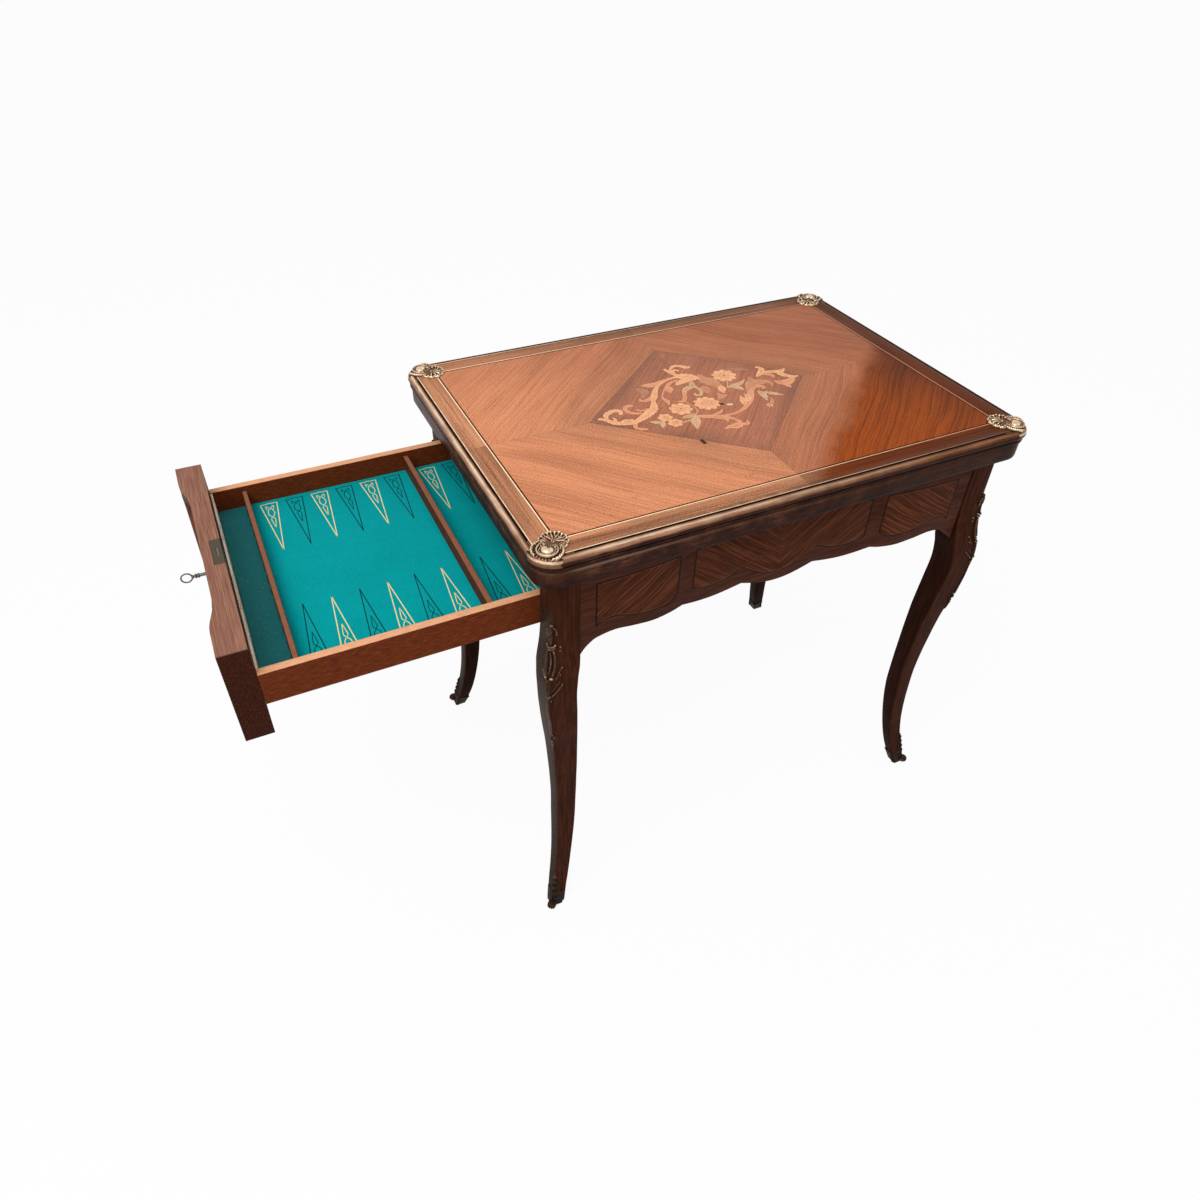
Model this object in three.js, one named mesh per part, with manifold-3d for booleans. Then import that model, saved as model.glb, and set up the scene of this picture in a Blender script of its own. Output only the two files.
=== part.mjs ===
// A games table with cabriole legs, a folding and swivelling top, and a backgammon drawer.
//
// Sizes are in millimetres. The model is built round the middle of the table, with X along the long side,
// Y in depth, the front apron towards -Y and the floor at Z = 0. The drawer opens towards -X and is drawn
// open. The exported group is then shifted, so that its origin is the middle of its own base.

import * as THREE from 'three';
import { mergeVertices } from 'three/addons/utils/BufferGeometryUtils.js';
import Module from 'manifold-3d';

const wasm = await Module();
wasm.setup();

// Clearances
const seatGap = 0.3;          // between two pieces that touch
const runningGap = 0.7;       // beside the drawer's front
const slidingGap = 2;         // beside the drawer's sides
const turningGap = 0.4;       // round the pivot bolt, the hinge pins and the key
const stopGap = 0.5;          // between a moving piece and what stops it
const overrun = 2;            // how far every cutter passes the face that it cuts

// Top: two leaves hinged along the back edge
const tableHeight = 760;
const topLength = 788;
const topDepth = 554;
const topCornerRadius = 36;
const upperLeafThickness = 21.7;
const lowerLeafThickness = 25;
const mouldingDepth = 8;      // from the surface's edge to the moulding's outermost line
const lowerEdgeInset = 3.5;   // how far the lower leaf stands back from that line
const baizeBorder = 55;       // wood left round the baize on the two inner faces
const baizeThickness = 1.5;
const baizeCornerRadius = 12;
const cornerSteps = 6;

// Edge of the upper leaf: share of its thickness below the top, share of the moulding's depth inwards
const upperEdgeShares = [
  [0, 1], [0.02, 0.72], [0.08, 0.42], [0.16, 0.2], [0.26, 0.05], [0.36, 0], [0.44, 0.08],
  [0.5, 0.34], [0.58, 0.52], [0.66, 0.46], [0.72, 0.22], [0.8, 0.12], [0.92, 0.16], [1, 0.4],
];
// Edge of the lower leaf: share of its thickness below its top, share of its inset that it adds
const lowerEdgeShares = [[0, 0.4], [0.06, 0.05], [0.14, 0], [0.86, 0.1], [0.95, 0.2], [1, 0.6]];

// Frame
const topOverhang = 28;       // past the outer faces of the legs' heads
const legWidth = 41;          // of a leg's head along X
const legDepth = 37.3;        // of a leg's head along Y
const legArris = 1.6;         // the small flat worked on each corner of a leg
const legSwing = 20;          // the unit of the leg's curve
const legLevels = 34;

// Leg's outer corner: share of its height, share of the swing that it stands out from the head
const legOuterShares = [
  [0, 0.84], [0.024, 0.6], [0.056, 0.3], [0.105, -0.05], [0.168, -0.3], [0.225, -0.49], [0.28, -0.585],
  [0.335, -0.605], [0.405, -0.565], [0.463, -0.4], [0.526, -0.175], [0.584, 0.075], [0.629, 0.2],
  [0.685, 0.325], [0.73, 0.425], [0.772, 0.45], [0.835, 0.125], [0.898, 0], [1, 0],
];
// Leg's inner corner: share of its height, share of the head's width that it stands in from the outer face
const legInnerShares = [
  [0, 0.08], [0.02, 0.19], [0.08, 0.463], [0.136, 0.634], [0.2, 0.78], [0.255, 0.878], [0.317, 0.937],
  [0.394, 0.951], [0.46, 0.951], [0.522, 0.91], [0.581, 0.871], [0.65, 0.805], [0.706, 0.805],
  [0.748, 0.854], [0.78, 0.951], [0.842, 1], [1, 1],
];

// Aprons
const apronSetback = 2;       // from the legs' outer faces
const apronDepth = 123.7;     // from the frame's top to the cusps of the shaped edge
const endApronThickness = 28;
const longHollow = 15;        // how deep the front and back aprons curve inwards
const longHollowStart = 270;  // distance from the middle where that curve starts
const longHollowEnd = 70;     // and where it is at its deepest
const endHollow = 9.5;        // the same for the two ends, one of which is the drawer's front
const endHollowStart = 165;
const endHollowEnd = 110;
const longCusps = [62, 163];  // distances of the cusps from the middle
const endCusps = [54, 118];
const centreLobeDrop = 13;    // below the cusps
const sideLobeDrop = 6;
const longEndDrop = 26;
const shortEndDrop = 30;
// From the outer cusp to the apron's end: share of that distance, share of the drop at the end
const apronEndShares = [
  [0, 0], [0.13, 0.17], [0.27, 0.23], [0.48, 0.08], [0.67, -0.08], [0.84, 0.08], [0.94, 0.5], [1, 1],
];
const longStations = 60;
const endStations = 46;

// Tenons of the aprons, and the rail's laps
const longTenonLength = 18;
const endTenonLength = 12;
const tenonThickness = 12;
const tenonSetback = 9;       // from the apron's outer face
const tenonShoulder = 12;     // above the cusps
const tenonHeight = 90;

// Rails and boards in the frame
const railThickness = 10.4;   // the rail over the drawer
const railDepth = 39;
const lowerRailThickness = 18.7;
const lowerRailDepth = 28;
const wellEndThickness = 8;
const wellFloorThickness = 6;
const wellFloorTongue = 5;    // into the grooves of the long aprons
const pivotBoardThickness = 16;
const runnerHeight = 12.7;
const runnerWidth = 22;
const runnerStopLength = 15;  // the drawer's stop at the far end of each runner
const runnerStopHeight = 20;
const cornerBlockSize = 20;
const cornerBlockHeight = 44;

// Pivot and swivel stop
const pivotRadius = 6;
const pivotHeadRadius = 13;
const pivotHeadThickness = 3;
const washerRadius = 16;
const washerThickness = 2;
const nutRadius = 11;
const nutThickness = 8;
const pivotEnd = 2;           // the bolt's end below its nut
const pegRadius = 5;
const pegInLeaf = 11;
const pegBelowFrameTop = 13;
const pegStep = 11;           // how much further from the pivot the stop peg stands sideways than in depth

// Hinges of the top, let into the two inner faces
const hingeInset = 134;       // from each end of the top
const hingeLength = 48;
const hingePlateDepth = 20;
const hingePlateThickness = 1.8;
const hingePinRadius = 1.5;
const hingeKnuckleRadius = 3.4;

// Drawer
const drawerOpen = 390;
const spaceBehindDrawer = 116.9;
const drawerFrontGap = 1;     // under the rail
const drawerFrontThickness = 34.8;
const drawerSideDrop = 43.3;  // from the front's top to the sides' top
const drawerSideThickness = 12;
const drawerSideHeight = 49;
const drawerHeadroom = 1.4;   // under the well's floor
const drawerBottomRaise = 6;
const drawerBottomThickness = 8;
const drawerBottomTongue = 5;
const feltThickness = 1.5;
const liningThickness = 2.7;
const liningHeight = 34;
const piecesWidth = 40.3;     // the narrow compartment behind the front
const dividerThickness = 7;
const dividerHeight = 26.7;
const barThickness = 8;
const drawerBackThickness = 12;
const drawerBackHeight = 32;

// Lock and key, on the drawer's front
const lockSide = -12;         // the lock's middle, from the drawer's
const lockPlateLength = 55;
const lockPlateWidth = 13.2;
const lockPlateThickness = 2;
const lockCaseLength = 48;
const lockCaseThickness = 11.6;
const lockCaseHeight = 44;
const lockWall = 1.5;
const boltLength = 18.7;      // along Y
const boltThickness = 2.9;
const boltSetback = 4;        // from the lock plate's inner edge
const boltThrow = 8;
const keyDrop = 29.3;         // the key's axis, below the top of the drawer's front
const keyShankRadius = 2.2;
const keyShankOut = 19.5;     // of the shank that stands out of the drawer's front
const keyBitReach = 7.2;
const keyBitThickness = 1.8;
const keyCollarRadius = 3.3;
const keyCollarLength = 5;
const keyCollarDistance = 9;  // from the drawer's front
const keyBowRadius = 6.7;
const keyBowWire = 1;
const escutcheonHalfWidth = 7.5;
const escutcheonHalfHeight = 13;
const escutcheonThickness = 1;

// Bronze mounts
const mountPlateRadius = 27;  // the shell-shaped plate on each corner of the top
const mountPlateThickness = 3.2;
const mountPlateInset = 31;   // its middle, from the top's edges
const mountLobes = 11;
const mountLobeDepth = 1.5;
const mountSkirtThickness = 1.5;
const mountSkirtSweep = 66;   // degrees round the corner
const mountSkirtSteps = 8;
const mountSkirtLevels = 7;   // how many levels of the upper leaf's edge it covers
const kneeMountDrop = 74.7;   // from the frame's top to the knee mount's
const kneeMountLength = 238;
const kneeMountThickness = 5;
const kneeMountWing = 12;     // how far it reaches round the leg's outer corner, each way
// Down the knee mount: share of its length, share of its wing, share of its thickness
const kneeMountShares = [
  [0, 0.3, 0.5], [0.03, 0.5, 1], [0.07, 0.45, 0.8], [0.1, 0.28, 0.5], [0.15, 0.4, 0.8], [0.21, 0.6, 0.7],
  [0.29, 0.8, 0.8], [0.36, 1, 1], [0.41, 0.9, 0.8], [0.46, 0.5, 0.7], [0.5, 0.4, 0.8], [0.56, 0.22, 0.5],
  [0.84, 0.2, 0.5], [0.88, 0.38, 0.9], [0.94, 0.34, 0.8], [1, 0.2, 0.4],
];
const kneeRimShare = 0.35;    // of its thickness, at its rim
const kneeNoseShare = 0.75;   // of its thickness, past the leg's corner
const kneeCrownShare = 0.4;   // of its wing, where it is thickest
const sabotThickness = 1.6;
const sabotSole = 2.4;
const sabotFrontHeight = 80;
const sabotBackHeight = 24;
const sabotLevels = 9;
const sabotToeRadius = 6;
const sabotToeLength = 13;
const sabotToeOut = 17;       // of the toe scroll's middle, from the leg's head
const sabotToeHeight = 6.4;   // of the toe scroll's middle, from the floor

// Heights from the floor, worked out from the sizes above
const upperLeafUnderside = tableHeight - upperLeafThickness;
const lowerLeafTop = upperLeafUnderside - seatGap;
const lowerLeafUnderside = lowerLeafTop - lowerLeafThickness;
const partingHeight = (upperLeafUnderside + lowerLeafTop) / 2;
const frameTop = lowerLeafUnderside - seatGap;
const cuspHeight = frameTop - apronDepth;
const railUnderside = frameTop - railThickness;
const drawerFrontTop = railUnderside - drawerFrontGap;
const drawerSideTop = drawerFrontTop - drawerSideDrop;
const drawerSideUnderside = drawerSideTop - drawerSideHeight;
const drawerBottomUnderside = drawerSideUnderside + drawerBottomRaise;
const drawerBottomTop = drawerBottomUnderside + drawerBottomThickness;
const runnerTop = drawerSideUnderside - seatGap;
const wellFloorUnderside = drawerSideTop + drawerHeadroom;
const wellFloorTop = wellFloorUnderside + wellFloorThickness;

// Places in plan, measured from the table's middle
const topHalfLength = topLength / 2;
const topHalfDepth = topDepth / 2;
const frameHalfLength = topHalfLength - topOverhang;
const frameHalfDepth = topHalfDepth - topOverhang;
const drawerHalfWidth = frameHalfDepth - legDepth - runningGap;
const hingeDistance = topHalfLength - hingeInset;
const pivotPlace = topDepth / 4;            // along X and along Y: it brings the fold to the middle
const legInnerX = frameHalfLength - legWidth;
const legInnerY = frameHalfDepth - legDepth;
const apronEndX = legInnerX - seatGap;
const apronEndY = legInnerY - seatGap;
const apronFaceX = frameHalfLength - apronSetback;
const apronFaceY = frameHalfDepth - apronSetback;
const apronInnerX = apronFaceX - endApronThickness;
const apronInnerY = drawerHalfWidth + slidingGap;
const betweenAprons = apronInnerY - seatGap;
const wellEndInner = -apronEndX + wellEndThickness;
const hingeAxisY = topHalfDepth + seatGap / 2;

// The drawer, closed
const drawerFrontInner = -apronFaceX + drawerFrontThickness;
const drawerFrontMiddle = -apronFaceX + endHollow;
const drawerBoxStart = drawerFrontInner + seatGap;
const drawerInnerHalf = drawerHalfWidth - drawerSideThickness;
const betweenSides = drawerInnerHalf - seatGap;
const liningEnd = drawerBoxStart + liningThickness;
const dividerStart = liningEnd + piecesWidth;
const dividerEnd = dividerStart + dividerThickness;
const drawerEnd = apronInnerX - spaceBehindDrawer;
const drawerBackInner = drawerEnd - drawerBackThickness;
const barStart = (dividerEnd + drawerBackInner - barThickness) / 2;
const barEnd = barStart + barThickness;
const onBottom = drawerBottomTop + seatGap;
const dividerTop = onBottom + dividerHeight;

// The lock, with the drawer closed
const lockInner = drawerFrontInner - seatGap;
const lockPlateUnderside = drawerFrontTop - lockPlateThickness;
const lockCaseOuter = lockInner - lockCaseThickness;
const lockCaseUnderside = lockPlateUnderside - lockCaseHeight;
const keyHeight = drawerFrontTop - keyDrop;
const bitRoom = keyBitReach + turningGap * 2;
const boltOuter = lockInner - boltSetback - boltThickness;
const boltInner = lockInner - boltSetback;
const bowPlace = drawerFrontMiddle - keyShankOut - keyBowRadius + keyBowWire / 2;

// A closed mesh as a solid, and a solid as a geometry
function solidOf(geometry) {
  const bare = geometry.clone();
  bare.deleteAttribute('normal');
  bare.deleteAttribute('uv');
  const merged = mergeVertices(bare);
  return new wasm.Manifold(new wasm.Mesh({
    numProp: 3,
    vertProperties: merged.attributes.position.array,
    triVerts: new Uint32Array(merged.index.array),
  }));
}

function geometryOf(solid) {
  const mesh = solid.getMesh();
  const geometry = new THREE.BufferGeometry();
  geometry.setAttribute('position', new THREE.BufferAttribute(new Float32Array(mesh.vertProperties), 3));
  geometry.setIndex(new THREE.BufferAttribute(new Uint32Array(mesh.triVerts), 1));
  const flat = geometry.toNonIndexed();
  flat.computeVertexNormals();
  return flat;
}

// A box between two opposite corners
function box(x0, x1, y0, y1, z0, z1) {
  const geometry = new THREE.BoxGeometry(x1 - x0, y1 - y0, z1 - z0);
  geometry.translate((x0 + x1) / 2, (y0 + y1) / 2, (z0 + z1) / 2);
  return solidOf(geometry);
}

// An upright round bar
function upright(radius, x, y, z0, z1, sides = 32) {
  const geometry = new THREE.CylinderGeometry(radius, radius, z1 - z0, sides);
  geometry.rotateX(Math.PI / 2);
  geometry.translate(x, y, (z0 + z1) / 2);
  return solidOf(geometry);
}

// A round bar that lies along X
function lengthwise(radius, y, z, x0, x1, sides = 16) {
  const geometry = new THREE.CylinderGeometry(radius, radius, x1 - x0, sides);
  geometry.rotateZ(Math.PI / 2);
  geometry.translate((x0 + x1) / 2, y, z);
  return solidOf(geometry);
}

// An upright prism over an outline of [x, y] points
function prism(outline, z0, z1) {
  const shape = new THREE.Shape(outline.map(([x, y]) => new THREE.Vector2(x, y)));
  const geometry = new THREE.ExtrudeGeometry(shape, { depth: z1 - z0, bevelEnabled: false });
  geometry.translate(0, 0, z0);
  return solidOf(geometry);
}

// A skin over rings of [x, y, z] points, closed by a cap at each end. flatten gives a point's place on a cap.
function loft(rings, flatten) {
  const count = rings[0].length;
  const index = [];
  for (let ring = 0; ring + 1 < rings.length; ring++) {
    for (let i = 0; i < count; i++) {
      const a = ring * count + i;
      const b = ring * count + (i + 1) % count;
      index.push(a, b, b + count, a, b + count, a + count);
    }
  }
  const cap = (ring, turned) => {
    const contour = rings[ring].map((point) => new THREE.Vector2(...flatten(point)));
    const way = Math.sign(THREE.ShapeUtils.area(contour)) * (turned ? 1 : -1);
    for (const face of THREE.ShapeUtils.triangulateShape(contour, [])) {
      const [a, b, c] = face.map((i) => ring * count + i);
      if (THREE.ShapeUtils.area(face.map((i) => contour[i])) * way > 0) index.push(a, b, c);
      else index.push(a, c, b);
    }
  };
  cap(0, false);
  cap(rings.length - 1, true);
  const points = rings.flat();
  let volume = 0;
  for (let i = 0; i < index.length; i += 3) {
    const [a, b, c] = [0, 1, 2].map((k) => new THREE.Vector3(...points[index[i + k]]));
    volume += a.dot(b.cross(c));
  }
  if (volume < 0) {
    for (let i = 0; i < index.length; i += 3) [index[i + 1], index[i + 2]] = [index[i + 2], index[i + 1]];
  }
  const geometry = new THREE.BufferGeometry();
  geometry.setAttribute('position', new THREE.Float32BufferAttribute(points.flat(), 3));
  geometry.setIndex(index);
  return solidOf(geometry);
}

const fromAbove = ([x, y]) => [x, y];
const fromTheSide = ([x, , z]) => [x, z];
const fromTheEnd = ([, y, z]) => [y, z];

// A smooth curve through [place, value] pairs that never overshoots them
function smooth(pairs) {
  const slopes = pairs.slice(1).map(([x, y], i) => (y - pairs[i][1]) / (x - pairs[i][0]));
  const tangents = pairs.map((_, i) => {
    const before = slopes[Math.max(i - 1, 0)];
    const after = slopes[Math.min(i, slopes.length - 1)];
    return before * after <= 0 ? 0 : (2 * before * after) / (before + after);
  });
  return (x) => {
    const last = pairs.length - 2;
    let i = 0;
    while (i < last && x > pairs[i + 1][0]) i++;
    const step = pairs[i + 1][0] - pairs[i][0];
    const t = Math.min(Math.max((x - pairs[i][0]) / step, 0), 1);
    const [a, b] = [pairs[i][1], pairs[i + 1][1]];
    const ease = t * t * (3 - 2 * t);
    return a + (b - a) * ease + step * t * (1 - t) * ((1 - t) * tangents[i] - t * tangents[i + 1]);
  };
}

// The points of a rounded rectangle round the middle, anticlockwise
function roundedRectangle(halfX, halfY, radius) {
  const points = [];
  for (let corner = 0; corner < 4; corner++) {
    const cx = (corner === 0 || corner === 3 ? 1 : -1) * (halfX - radius);
    const cy = (corner < 2 ? 1 : -1) * (halfY - radius);
    for (let i = 0; i <= cornerSteps; i++) {
      const angle = (corner + i / cornerSteps) * Math.PI / 2;
      points.push([cx + radius * Math.cos(angle), cy + radius * Math.sin(angle)]);
    }
  }
  return points;
}

// Top
function leafRing(inset, height) {
  const outline = roundedRectangle(topHalfLength - inset, topHalfDepth - inset, topCornerRadius - inset);
  return outline.map(([x, y]) => [x, y, height]);
}

function baizeOutline(gap) {
  const border = baizeBorder + gap;
  return roundedRectangle(topHalfLength - border, topHalfDepth - border, baizeCornerRadius);
}

// Room for the hinges: a plate on one side of the parting line, and the knuckles round their axis
function hingeRoom(face, intoLeaf) {
  const plate = [face - overrun * intoLeaf, face + (hingePlateThickness + seatGap) * intoLeaf].sort((a, b) => a - b);
  const inner = hingeAxisY - hingeKnuckleRadius - hingePlateDepth - seatGap;
  const half = hingeLength / 2 + seatGap;
  return [-hingeDistance, hingeDistance].map((x) => box(x - half, x + half, inner, topHalfDepth + overrun, ...plate)
    .add(lengthwise(hingeKnuckleRadius + turningGap, hingeAxisY, partingHeight, x - half, x + half)));
}

function upperLeaf() {
  const rings = upperEdgeShares.map(([down, inward]) =>
    leafRing(inward * mouldingDepth, tableHeight - down * upperLeafThickness));
  const recess = prism(baizeOutline(0), upperLeafUnderside - overrun, upperLeafUnderside + baizeThickness + seatGap);
  return [recess, ...hingeRoom(upperLeafUnderside, 1)].reduce((a, b) => a.subtract(b), loft(rings, fromAbove));
}

function upperBaize() {
  return prism(baizeOutline(seatGap), upperLeafUnderside, upperLeafUnderside + baizeThickness);
}

const baizeBed = lowerLeafTop - baizeThickness - seatGap;
const pivotHeadTop = baizeBed - seatGap;
const pivotHeadUnderside = pivotHeadTop - pivotHeadThickness;
const pegY = betweenAprons + seatGap - stopGap - pegRadius;
const pegX = pivotPlace - (pegY - pivotPlace) - pegStep;

function lowerLeaf() {
  const rings = lowerEdgeShares.map(([down, inward]) =>
    leafRing(lowerEdgeInset * (1 + inward), lowerLeafTop - down * lowerLeafThickness));
  const cuts = [
    prism(baizeOutline(0), baizeBed, lowerLeafTop + overrun),
    upright(pivotHeadRadius + seatGap, pivotPlace, pivotPlace, pivotHeadUnderside - seatGap, lowerLeafTop),
    upright(pivotRadius + seatGap, pivotPlace, pivotPlace, lowerLeafUnderside - overrun, lowerLeafTop),
    upright(pegRadius + seatGap, pegX, pegY, lowerLeafUnderside - overrun, lowerLeafUnderside + pegInLeaf + seatGap, 24),
    ...hingeRoom(lowerLeafTop, -1),
  ];
  return cuts.reduce((a, b) => a.subtract(b), loft(rings, fromAbove));
}

function lowerBaize() {
  return prism(baizeOutline(seatGap), lowerLeafTop - baizeThickness, lowerLeafTop);
}

// Pivot, washer, nut and stop peg
const boardUnderside = frameTop - pivotBoardThickness;
const washerUnderside = boardUnderside - seatGap - washerThickness;
const nutUnderside = washerUnderside - seatGap - nutThickness;

function pivotBolt() {
  return upright(pivotHeadRadius, pivotPlace, pivotPlace, pivotHeadUnderside, pivotHeadTop)
    .add(upright(pivotRadius, pivotPlace, pivotPlace, nutUnderside - pivotEnd, pivotHeadTop));
}

function pivotWasher() {
  return upright(washerRadius, pivotPlace, pivotPlace, washerUnderside, washerUnderside + washerThickness)
    .subtract(upright(pivotRadius + turningGap, pivotPlace, pivotPlace, washerUnderside - overrun, frameTop));
}

function pivotNut() {
  return upright(nutRadius, pivotPlace, pivotPlace, nutUnderside, nutUnderside + nutThickness, 6)
    .subtract(upright(pivotRadius + seatGap, pivotPlace, pivotPlace, nutUnderside - overrun, frameTop));
}

function swivelStopPeg() {
  return upright(pegRadius, pegX, pegY, frameTop - pegBelowFrameTop, lowerLeafUnderside + pegInLeaf, 24);
}

// Hinges, drawn round X = 0. side is 1 for the upper plate and -1 for the lower one.
const third = hingeLength / 3;

function hingePlate(side) {
  const face = side > 0 ? upperLeafUnderside : lowerLeafTop;
  const [z0, z1] = [face, face + side * hingePlateThickness].sort((a, b) => a - b);
  const inner = hingeAxisY - hingeKnuckleRadius - hingePlateDepth;
  const clear = hingeAxisY - hingeKnuckleRadius - turningGap;
  const own = side > 0
    ? [[-third / 2 + seatGap / 2, third / 2 - seatGap / 2]]
    : [[-hingeLength / 2, -third / 2 - seatGap / 2], [third / 2 + seatGap / 2, hingeLength / 2]];
  let solid = box(-hingeLength / 2, hingeLength / 2, inner, clear, z0, z1);
  for (const [x0, x1] of own) {
    solid = solid.add(box(x0, x1, inner, hingeAxisY, z0, z1))
      .add(lengthwise(hingeKnuckleRadius, hingeAxisY, partingHeight, x0, x1));
  }
  return solid.subtract(lengthwise(hingePinRadius + turningGap, hingeAxisY, partingHeight, -hingeLength, hingeLength));
}

function hingePin() {
  return lengthwise(hingePinRadius, hingeAxisY, partingHeight, -hingeLength / 2, hingeLength / 2);
}

// Legs, drawn for the corner at +X and +Y
const legOuter = smooth(legOuterShares);
const legInner = smooth(legInnerShares);

function legRing(height, gap) {
  const share = height / frameTop;
  const out = legOuter(share) * legSwing + gap;
  const inX = legInner(share) * legWidth + gap;
  const inY = Math.min(inX, legDepth + gap);
  const [x0, x1] = [frameHalfLength - inX, frameHalfLength + out];
  const [y0, y1] = [frameHalfDepth - inY, frameHalfDepth + out];
  const cut = Math.min(legArris, (x1 - x0) / 4, (y1 - y0) / 4);
  return [
    [x1, y0 + cut, height], [x1, y1 - cut, height], [x1 - cut, y1, height], [x0 + cut, y1, height],
    [x0, y1 - cut, height], [x0, y0 + cut, height], [x0 + cut, y0, height], [x1 - cut, y0, height],
  ];
}

function legLoft(z0, z1, levels, gap) {
  const rings = [];
  for (let i = 0; i <= levels; i++) rings.push(legRing(z0 + (z1 - z0) * i / levels, gap));
  return loft(rings, fromAbove);
}

const tenonLow = cuspHeight + tenonShoulder;
const tenonOuterX = apronFaceX - tenonSetback;
const tenonOuterY = apronFaceY - tenonSetback;

function longTenon(gap) {
  return box(apronEndX - overrun, apronEndX + longTenonLength + gap, tenonOuterY - tenonThickness - gap,
    tenonOuterY + gap, tenonLow - gap, tenonLow + tenonHeight + gap);
}

function endTenon(gap, z0 = tenonLow, z1 = tenonLow + tenonHeight) {
  return box(tenonOuterX - tenonThickness - gap, tenonOuterX + gap, apronEndY - overrun,
    apronEndY + endTenonLength + gap, z0 - gap, z1 + gap);
}

// The shape that a mount leaves free for the leg
function legRoom(z0) {
  const foot = sabotSole + seatGap;
  return legLoft(foot, frameTop, legLevels, seatGap).add(legLoft(z0, foot + seatGap, 1, seatGap));
}

function leg(underRail) {
  const upper = underRail ? endTenon(seatGap, railUnderside, frameTop + overrun) : endTenon(seatGap);
  return legLoft(sabotSole + seatGap, frameTop, legLevels, 0).subtract(longTenon(seatGap)).subtract(upper);
}

// Aprons and the drawer's front share a shaped lower edge and a shallow hollow in plan
function hollow(distance, start, end, depth) {
  const t = Math.min(Math.max((start - Math.abs(distance)) / (start - end), 0), 1);
  return depth * (1 - Math.cos(Math.PI * t)) / 2;
}

const apronEnd = smooth(apronEndShares);

function shapedEdge(distance, [inner, outer], half, endDrop) {
  const d = Math.abs(distance);
  if (d < inner) return cuspHeight - centreLobeDrop * Math.cos(Math.PI / 2 * d / inner);
  if (d < outer) return cuspHeight - sideLobeDrop * Math.sin(Math.PI * (d - inner) / (outer - inner));
  return cuspHeight - endDrop * apronEnd((d - outer) / (half - outer));
}

function longApron() {
  const rings = [];
  for (let i = 0; i <= longStations; i++) {
    const x = apronEndX * (2 * i / longStations - 1);
    const face = apronFaceY - hollow(x, longHollowStart, longHollowEnd, longHollow);
    const low = shapedEdge(x, longCusps, apronEndX, longEndDrop);
    rings.push([[x, face, low], [x, face, frameTop], [x, apronInnerY, frameTop], [x, apronInnerY, low]]);
  }
  const groove = box(-apronEndX - overrun, apronEndX + overrun, apronInnerY - overrun,
    apronInnerY + wellFloorTongue, wellFloorUnderside - seatGap, wellFloorTop + seatGap);
  return loft(rings, fromTheEnd).subtract(groove).add(longTenon(0)).add(longTenon(0).mirror([1, 0, 0]));
}

// One end's outer face, across the table: side is 1 for the far end and -1 for the drawer's end
function endPiece(side, halfWidth, innerX, top, lowEdge) {
  const rings = [];
  for (let i = 0; i <= endStations; i++) {
    const y = halfWidth * (2 * i / endStations - 1);
    const face = side * (apronFaceX - hollow(y, endHollowStart, endHollowEnd, endHollow));
    const low = lowEdge(y);
    rings.push([[face, y, low], [face, y, top], [innerX, y, top], [innerX, y, low]]);
  }
  return loft(rings, fromTheSide);
}

function endApron() {
  const tenon = endTenon(0);
  return endPiece(1, apronEndY, apronInnerX, frameTop, (y) => shapedEdge(y, endCusps, apronEndY, shortEndDrop))
    .add(tenon).add(tenon.mirror([0, 1, 0]));
}

const boltMiddle = (boltOuter + boltInner) / 2;

function railOverDrawer() {
  const lap = endTenon(0, railUnderside, frameTop).mirror([1, 0, 0]);
  const half = boltThickness / 2 + turningGap * 2;
  const mortise = box(boltMiddle - half, boltMiddle + half, lockSide - boltLength / 2 - runningGap,
    lockSide + boltLength / 2 + runningGap, railUnderside - overrun, drawerFrontTop + boltThrow + stopGap);
  return endPiece(-1, apronEndY, -apronFaceX + railDepth, frameTop, () => railUnderside)
    .add(lap).add(lap.mirror([0, 1, 0])).subtract(mortise);
}

function lowerRail() {
  return box(-apronEndX, -apronEndX + lowerRailDepth, -betweenAprons, betweenAprons,
    runnerTop - lowerRailThickness, runnerTop);
}

function wellEnd() {
  return box(-apronEndX, wellEndInner, -betweenAprons, betweenAprons, wellFloorTop + seatGap, frameTop);
}

function wellFloor() {
  const half = apronInnerY + wellFloorTongue - seatGap;
  const far = apronInnerX - seatGap;
  return prism([[-apronEndX, -half], [apronEndX, -half], [apronEndX, -apronEndY], [far, -apronEndY],
    [far, apronEndY], [apronEndX, apronEndY], [apronEndX, half], [-apronEndX, half]], wellFloorUnderside, wellFloorTop);
}

// Its near edge stops the peg when the top has turned a quarter
function pivotBoard() {
  const half = (pegY - pivotPlace) - pegRadius - stopGap;
  return box(pivotPlace - half, pivotPlace + half, -betweenAprons, betweenAprons, boardUnderside, frameTop)
    .subtract(upright(pivotRadius + turningGap, pivotPlace, pivotPlace, boardUnderside - overrun, frameTop + overrun));
}

// A runner under one side of the drawer, drawn for +Y
function runner() {
  const start = -apronEndX + lowerRailDepth + seatGap;
  const stop = drawerEnd + stopGap;
  return box(start, apronEndX, betweenAprons - runnerWidth, betweenAprons, runnerTop - runnerHeight, runnerTop)
    .add(box(stop, stop + runnerStopLength, betweenAprons - runnerWidth, betweenAprons,
      runnerTop - runnerHeight, runnerTop + runnerStopHeight));
}

// A glue block in one corner of the well, drawn for +Y. x is the face that it is glued to, and way points inwards.
function cornerBlock(x, way) {
  const low = wellFloorTop + seatGap;
  return prism([[x, betweenAprons], [x + way * cornerBlockSize, betweenAprons],
    [x, betweenAprons - cornerBlockSize]], low, low + cornerBlockHeight);
}

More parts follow.
